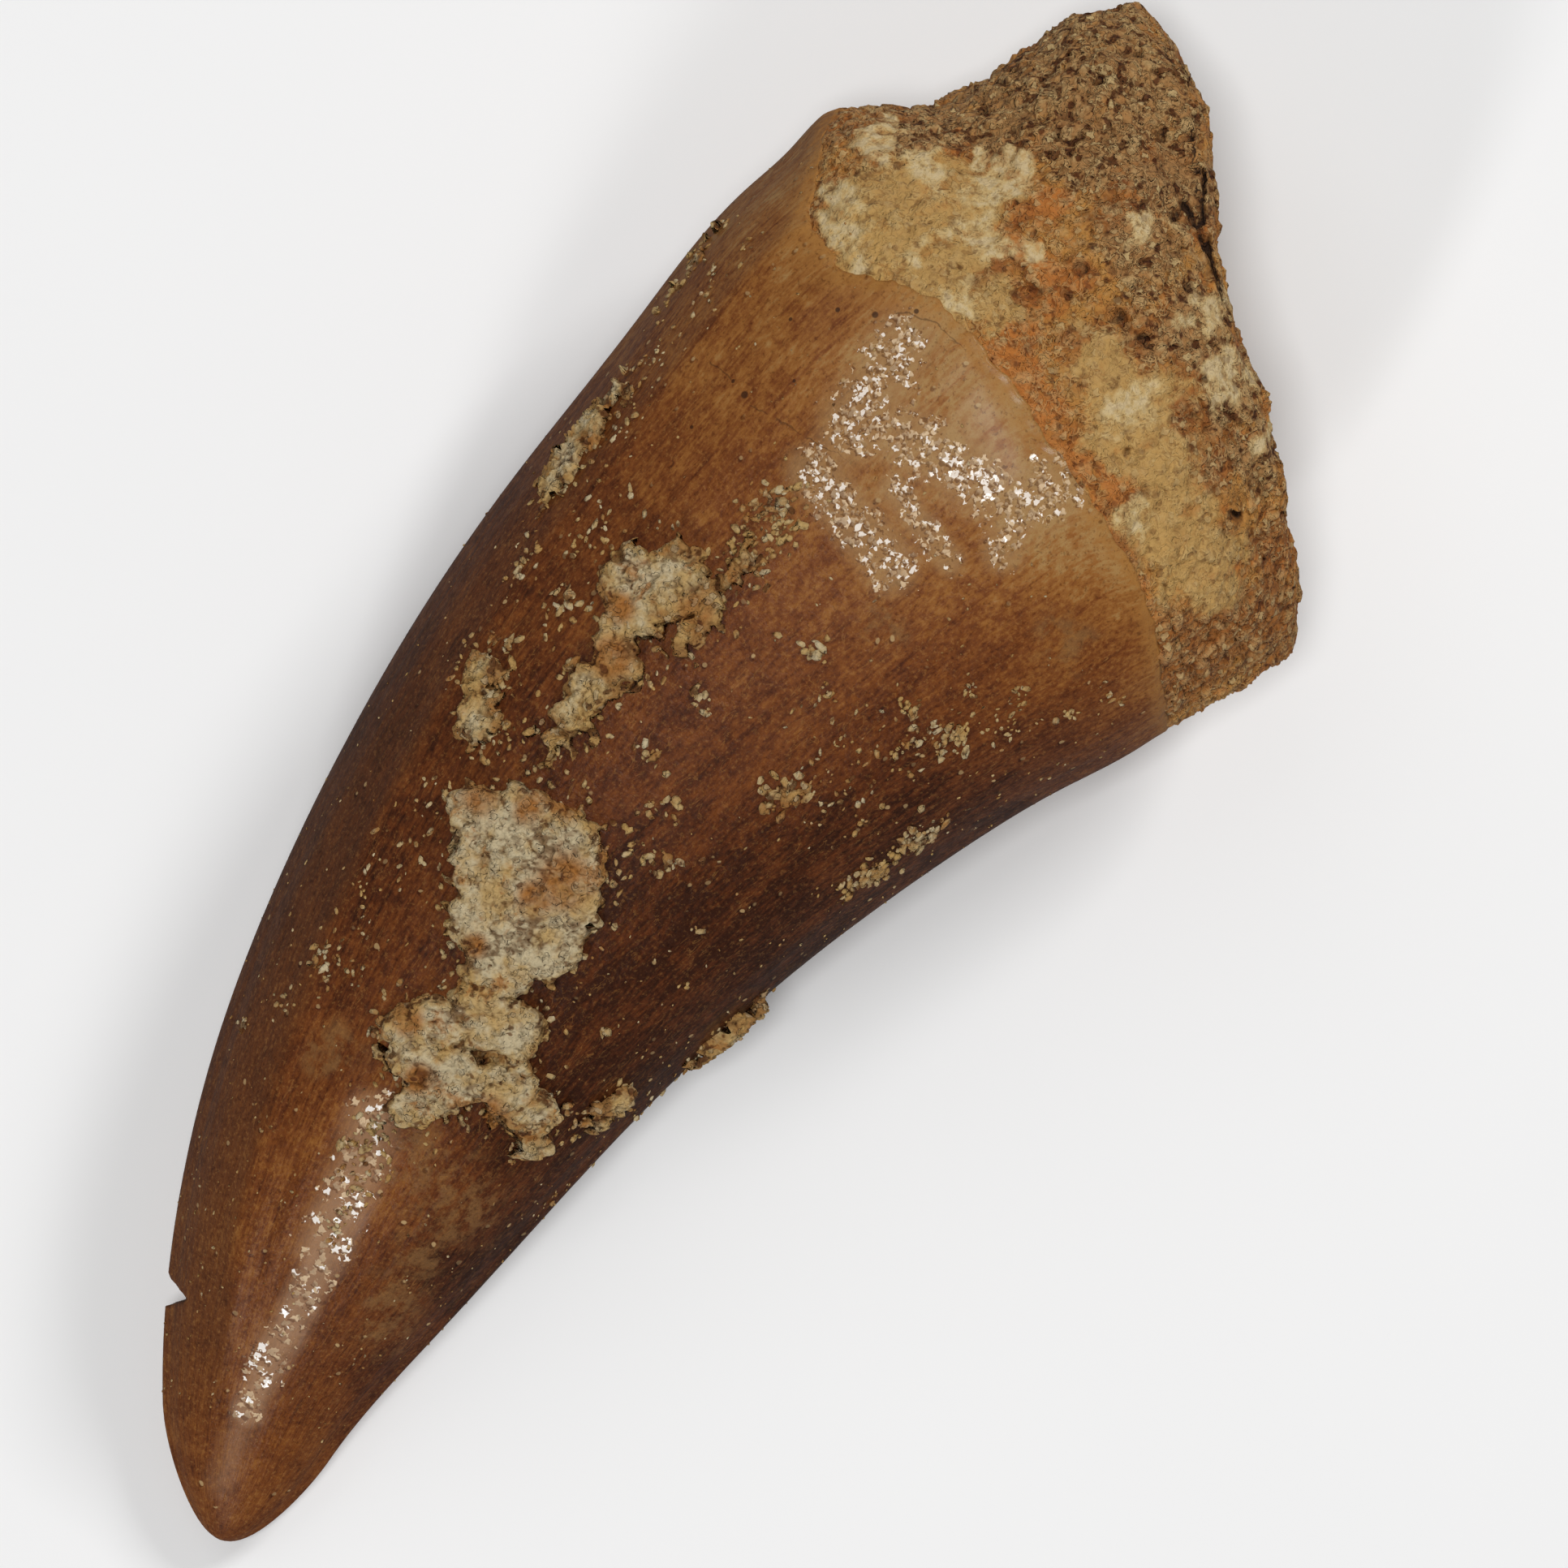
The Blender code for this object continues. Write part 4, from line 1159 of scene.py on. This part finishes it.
def enamel_material():
    g = Graph("fossil_enamel")
    rolled = g.attribute("flow", "Vector")
    place = g.place()
    bent = g.warped(place, 4.0, 0.12)

    # The tone varies in long dashes and threads, in patches and in clouds
    dashes = g.noise(g.scaled(rolled, (1, 1, 0.42)), 6.5, 3.0, 0.65)
    lines = g.noise(g.scaled(rolled, (1, 1, 0.07)), 2.2, 4.0, 0.62)
    patches = g.noise(place, 0.50, 5.0, 0.62)
    clouds = g.noise(place, 2.2, 4.0, 0.62)
    tone = g.attribute("tone")
    grown = g.span(tone, 0.2, 0.8, 0.06, 0.15)
    clear = g.span(tone, 0.30, 0.90, 1.0, 0.45)
    tone = g.plus(tone, g.times(g.span(lines, 0.32, 0.68, -0.5, 0.5), grown))
    tone = g.plus(tone, g.span(dashes, 0.30, 0.70, -0.09, 0.15))
    threads = g.noise(g.scaled(rolled, (1, 1, 0.055)), 4.2, 2.0, 0.55)
    tone = g.plus(tone, g.times(g.span(threads, 0.47, 0.30, 0.0, 0.15), clear))
    tone = g.plus(tone, g.span(patches, 0.32, 0.68, -0.10, 0.10))
    tone = g.plus(tone, g.span(clouds, 0.30, 0.70, -0.07, 0.07))
    g.colour = g.ramp(tone, ENAMEL_RAMP)

    # The dull band by the convex edge, the pale margin by the root, and patches of haze
    g.paint(g.times(g.attribute("band"), 0.45), BAND_BROWN)
    margin = g.times(g.attribute("margin"), g.span(clouds, 0.35, 0.60, 0.15, 0.85))
    g.paint(margin, MARGIN_OCHRE)
    haze = g.times(g.attribute("haze"), g.span(g.noise(place, 1.3, 4.0, 0.7), 0.42, 0.62))
    g.paint(g.times(haze, 0.75), OLIVE)

    # Thin veins, pale and dark specks, and single grains of sand with a painted shade beside each
    vein = g.noise(g.scaled(rolled, (1, 1, 0.30)), 1.5, 3.0, 0.6, 1.2)
    vein = g.span(g.math("ABSOLUTE", g.minus(vein, 0.5)), 0.012, 0.002)
    vein = g.times(vein, g.span(g.noise(place, 0.9, 2.0), 0.50, 0.60, 0.0, 0.35))
    g.paint(vein, SPECK)
    mottled = g.noise(place, 7.0, 3.0, 0.70)
    g.paint(g.times(g.span(mottled, 0.53, 0.68, 0.0, 0.52), clear), SPECK)
    g.darken(g.span(mottled, 0.46, 0.32, 0.0, 0.50))
    crowd = g.span(g.noise(place, 0.45, 3.0), 0.44, 0.66, 0.02, 0.16)
    grain, pick = g.strewn(bent, 2.6, 0.27, crowd)
    # painted shade beside each grain
    under = g.shaded(bent, 2.6, 0.27, crowd)
    g.darken(g.times(under, 0.6))
    g.paint(g.times(grain, g.span(pick, 0.0, 1.0, 0.25, 0.95)), SAND_SPECK)

    # Flakes with their painted glints, sheen, light and shade, then cracks and dots over all that
    sharp, flake, bright = add_flakes(g, place)
    add_cracks(g, place)
    g.put("Base Color", g.colour)
    g.put("Roughness", g.span(clouds, 0.3, 0.7, 0.34, 0.48))
    normal = g.bump(mottled, 0.020)
    normal = g.bump(clouds, 0.05, normal)
    g.put("Normal", normal)
    g.put("Specular IOR Level", 0.10)
    polish = g.times(g.attribute("polish"), 0.14)
    g.put("Coat Weight", g.plus(g.times(bright, 0.45), polish, True))
    g.put("Coat Normal", g.tilted(sharp, 5.2, g.times(flake, 0.25)))
    g.put("Coat Roughness", 0.16)
    return g.material


# Colours of the root
OCHRE = shade(174, 122, 58)
RUST = shade(176, 108, 48)
CREAM = shade(198, 172, 120)
CREAM_WHITE = shade(200, 179, 140)
YELLOW = shade(182, 146, 86)
GREY_BUFF = shade(158, 117, 71)
ROOT_BROWN = shade(146, 90, 40)
CORE_SAND = shade(176, 144, 96)
# painted shade in the deepest pits and in the cracks
PIT_AND_CRACK_SHADE = shade(46, 28, 16)


def root_material():
    g = Graph("fossil_root")
    place = g.place()
    cavity = g.attribute("cavity")

    # Patches of ochre, brown, rust, yellow and grey, with cream bitten into them
    broad = g.noise(place, 0.40, 4.0, 0.6)
    middle = g.noise(place, 1.4, 4.0, 0.65)
    fine = g.noise(place, 6.5, 3.0, 0.68)
    bent = g.warped(place, 6.0, 0.22)
    g.colour = g.mix(g.span(broad, 0.40, 0.60), OCHRE, ROOT_BROWN)
    g.paint(g.span(middle, 0.50, 0.66, 0.0, 0.7), RUST)
    wobble = g.span(g.noise(place, 1.0, 5.0, 0.68), 0.30, 0.70, -0.45, 0.45)
    for label, tone, full in (("rust", RUST, 0.9), ("brown", ROOT_BROWN, 0.9),
                              ("yellow", YELLOW, 0.85), ("grey", GREY_BUFF, 0.85)):
        g.paint(g.span(g.plus(g.attribute(label), wobble), 0.10, 0.90, 0.0, full), tone)
    flecked = g.span(g.noise(place, 2.0, 4.0, 0.64), 0.30, 0.70, -0.5, 0.5)
    bitten = g.plus(g.times(g.attribute("cream"), 0.9), g.times(flecked, 0.9))
    cream = g.span(bitten, 0.15, 1.05, 0.0, 0.9)
    stray = g.span(g.noise(place, 0.9, 4.0, 0.62), 0.56, 0.78, 0.0, 0.5)
    g.paint(g.most(cream, stray), CREAM)
    g.paint(g.span(bitten, 0.80, 1.20, 0.0, 0.7), CREAM_WHITE)
    calm = g.most(cream, g.times(g.attribute("yellow"), 0.6))
    calm = g.most(calm, g.times(g.attribute("rust"), 0.3))
    rough = g.minus(1.0, g.times(calm, 0.6))
    rough = g.times(rough, g.span(g.attribute("grey"), 0.0, 0.8, 0.78, 1.0))

    # The broken end: sand fills its middle, with a dark crack where it has come loose
    core = g.attribute("core")
    sandy = g.times(core, g.span(middle, 0.35, 0.60, 0.35, 0.9))
    g.paint(sandy, CORE_SAND)
    loose = g.math("ABSOLUTE", g.minus(core, g.span(middle, 0.3, 0.7, 0.2, 0.8)))
    g.darken(g.span(loose, 0.22, 0.05, 0.0, 0.9))

    # Painted light on ridges and raised tops, granules lighter by their own tone and by painted light,
    # a painted shade beside each ridge and granule, and painted shade in the hollows and low places
    # between them
    hollow = g.noise(place, 2.5, 2.0, 0.5)
    grain, pick = g.strewn(bent, 3.3, 0.46, 0.45)
    under = g.shaded(bent, 3.3, 0.46, 0.45)
    ridge = g.ridges(place)
    ridge_painted_shade = g.minus(g.ridges(g.moved(place, 1.0)), ridge, True)
    # painted light on the raised tops
    g.paint(g.times(g.span(cavity, 0.01, 0.15, 0.0, 0.40), rough), CREAM)
    # painted shade beside each granule
    g.darken(g.times(g.times(under, rough), 0.50))
    patchy = g.times(rough, g.span(g.noise(place, 1.1, 3.0), 0.40, 0.60, 0.20, 1.0))
    g.darken(g.times(g.times(ridge_painted_shade, patchy), 0.80))
    # painted light on the ridges
    g.paint(g.times(ridge, patchy), g.mix(0.32, g.colour, CREAM))
    light = g.times(g.times(grain, rough), g.span(pick, 0.2, 1.0, 0.0, 0.72))
    g.paint(light, CREAM)
    deep = g.minus(hollow, g.times(g.attribute("grey"), 0.05))
    # painted shade in the hollows and in low places
    g.darken(g.times(g.span(deep, 0.41, 0.32), rough))
    g.darken(g.times(g.span(fine, 0.45, 0.32, 0.0, 0.35), rough))
    g.darken(g.span(cavity, -0.02, -0.15, 0.0, 0.65))
    # painted shade in the deepest pits
    g.paint(g.span(cavity, -0.18, -0.34, 0.0, 0.9), PIT_AND_CRACK_SHADE)

    # The cracks behind the broken rim, with painted shade in them
    gap = g.plus(g.attribute("gap"), g.span(g.noise(place, 3.5, 3.0), 0.25, 0.75, -1.5, 1.5))
    gap = g.plus(g.math("ABSOLUTE", gap), g.span(g.noise(place, 2.2, 2.0), 0.46, 0.62, 0.0, 1.3))
    gap = g.times(g.span(gap, 1.4, 0.6, 0.0, 0.95), g.attribute("torn"))
    g.paint(gap, PIT_AND_CRACK_SHADE)
    g.put("Base Color", g.colour)
    g.put("Roughness", g.span(middle, 0.3, 0.7, 0.62, 0.85))
    normal = g.bump(hollow, 0.35, None, rough)
    normal = g.bump(g.most(grain, ridge), 0.09, normal, rough)
    normal = g.bump(fine, 0.05, normal)
    g.put("Normal", normal)
    g.put("Specular IOR Level", 0.20)
    return g.material


# Colours of the cemented sand
SAND_WHITE = shade(188, 172, 138)
SAND_CREAM = shade(174, 148, 102)
SAND_BUFF = shade(148, 108, 60)
SAND_YELLOW = shade(178, 144, 86)
SAND_ORANGE = shade(152, 100, 46)


def matrix_material():
    g = Graph("sandy_matrix")
    place = g.place()
    tone = g.attribute("tone")
    rim = g.attribute("rim")
    middle = g.noise(place, 0.9, 4.0, 0.62)
    fine = g.noise(place, 5.0, 3.0, 0.65)
    bent = g.warped(place, 6.0, 0.2)

    # Sand from buff to white, palest well inside the rim, with yellow and rusty clouds
    white = g.times(rim, 0.7)
    white = g.plus(white, g.minus(g.attribute("pale"), 0.62))
    white = g.plus(white, g.span(middle, 0.30, 0.70, -0.42, 0.42))
    white = g.plus(white, g.span(tone, 0.0, 1.0, -0.10, 0.10))
    g.colour = g.ramp(white, ((0.0, SAND_BUFF), (0.38, SAND_CREAM), (0.80, SAND_WHITE)))
    g.paint(g.span(g.noise(place, 0.75, 3.0, 0.6), 0.46, 0.62, 0.0, 0.75), SAND_YELLOW)
    cloud = g.span(g.noise(place, 0.85, 5.0, 0.66, 0.5), 0.53, 0.66, 0.0, 0.8)
    stain = g.most(g.times(g.attribute("stain"), g.span(middle, 0.3, 0.6, 0.4, 1.0)), cloud)
    g.paint(stain, SAND_ORANGE)

    # Light grains with a painted shade beside each, and painted shade in the hollows, mostly near the
    # rim, and in the gaps between grains
    hollow = g.noise(place, 2.4, 2.0, 0.5)
    grain, pick = g.strewn(bent, 3.2, 0.50, 0.6)
    under = g.shaded(bent, 3.2, 0.50, 0.6)
    g.darken(g.times(under, 0.22))
    light = g.times(grain, g.span(pick, 0.2, 1.0, 0.0, 0.40))
    light = g.times(light, g.minus(1.0, g.times(stain, 0.7)))
    g.paint(light, SAND_WHITE)
    # painted shade in the hollows, mostly near the rim
    edge = g.span(rim, 0.10, 0.85, 0.09, -0.03)
    dark = g.span(g.minus(hollow, edge), 0.39, 0.31)
    g.darken(g.times(dark, 0.9))
    g.darken(g.span(fine, 0.44, 0.30, 0.0, 0.25))
    # painted shade in the gaps between grains
    g.darken(g.span(g.attribute("cavity"), -0.03, -0.18, 0.0, 0.80))
    g.put("Base Color", g.colour)
    g.put("Roughness", g.span(fine, 0.3, 0.7, 0.65, 0.9))
    normal = g.bump(hollow, 0.35)
    normal = g.bump(grain, 0.06, normal)
    normal = g.bump(fine, 0.06, normal)
    g.put("Normal", normal)
    g.put("Specular IOR Level", 0.20)
    return g.material


FLOOR_DARK = (0.87, 0.87, 0.87)
FLOOR_LIGHT = (0.89, 0.89, 0.89)
FLOOR_HALF = 0.6              # half its side, in metres
FLOOR_DROP = 0.00005          # how far under the tooth it lies, in metres


def floor_material():
    g = Graph("pale_floor")
    tone = g.mix(g.noise(g.place(), 0.05, 2.0), FLOOR_DARK, FLOOR_LIGHT)
    g.put("Base Color", tone)
    g.put("Roughness", 0.9)
    return g.material


def make_floor():
    mesh = bmesh.new()
    bmesh.ops.create_grid(mesh, x_segments=1, y_segments=1, size=FLOOR_HALF)
    data = bpy.data.meshes.new("pale_floor")
    mesh.to_mesh(data)
    mesh.free()
    floor = bpy.data.objects.new("pale_floor", data)
    floor.location = (0, 0, -FLOOR_DROP)
    floor.data.materials.append(floor_material())
    floor.visible_glossy = False
    bpy.context.scene.collection.objects.link(floor)


def make_camera():
    data = bpy.data.cameras.new("camera")
    data.lens = LENS
    data.sensor_width = SENSOR
    data.clip_start = 0.01
    data.clip_end = 10
    camera = bpy.data.objects.new("camera", data)
    x, y = np.array(CAMERA_AIM) - np.array(BOX_MIDDLE)
    camera.location = Vector((x, y, VIEW_PLANE + CAMERA_RISE)) * MM
    camera.rotation_euler = (0, 0, math.radians(CAMERA_TURN))
    bpy.context.scene.collection.objects.link(camera)
    bpy.context.scene.camera = camera


# Lights: name, direction it comes from, distance, width and length, and share of the light
LIGHTS = (
    ("key", (-0.06, 0.03, 1.0), 0.50, (0.09, 0.09), 0.40),
    ("tip_side", (-0.90, -0.26, 0.42), 0.50, (0.05, 0.20), 0.15),
    ("root_side", (0.85, -0.10, 0.75), 0.50, (0.12, 0.12), 0.26),
    ("fill", (0.35, 0.9, 1.3), 0.60, (0.40, 0.40), 0.08),
)
WORLD_GREY = 0.14


def make_lights():
    for name, way, distance, (width, length), share in LIGHTS:
        data = bpy.data.lights.new(name, "AREA")
        data.shape = "RECTANGLE"
        data.size = width
        data.size_y = length
        lamp = bpy.data.objects.new(name, data)
        way = Vector(way).normalized()
        # The power at which a white floor would be this bright
        data.energy = share * (math.pi * distance)**2 / way.z
        lamp.location = way * distance
        lamp.rotation_euler = way.to_track_quat("Z", "Y").to_euler()
        bpy.context.scene.collection.objects.link(lamp)
    world = bpy.data.worlds.new("studio")
    world.use_nodes = True
    world.node_tree.nodes["Background"].inputs[0].default_value = (1.0, 1.0, 1.0, 1)
    world.node_tree.nodes["Background"].inputs[1].default_value = WORLD_GREY
    bpy.context.scene.world = world
    bpy.context.scene.view_settings.view_transform = "Standard"


def finish_piece(piece, material):
    piece.data.materials.append(material)
    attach(piece, BODY)
    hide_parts(NODE)


def main():
    sand = matrix_material()
    finish_piece(make_crown(), enamel_material())
    finish_piece(make_root(), root_material())
    finish_piece(make_crusts("upper_crusts", UPPER_CRUSTS, True), sand)
    finish_piece(make_crusts("lower_crusts", LOWER_CRUSTS, False), sand)
    finish_piece(make_grains(), sand)
    make_floor()
    make_camera()
    make_lights()


main()
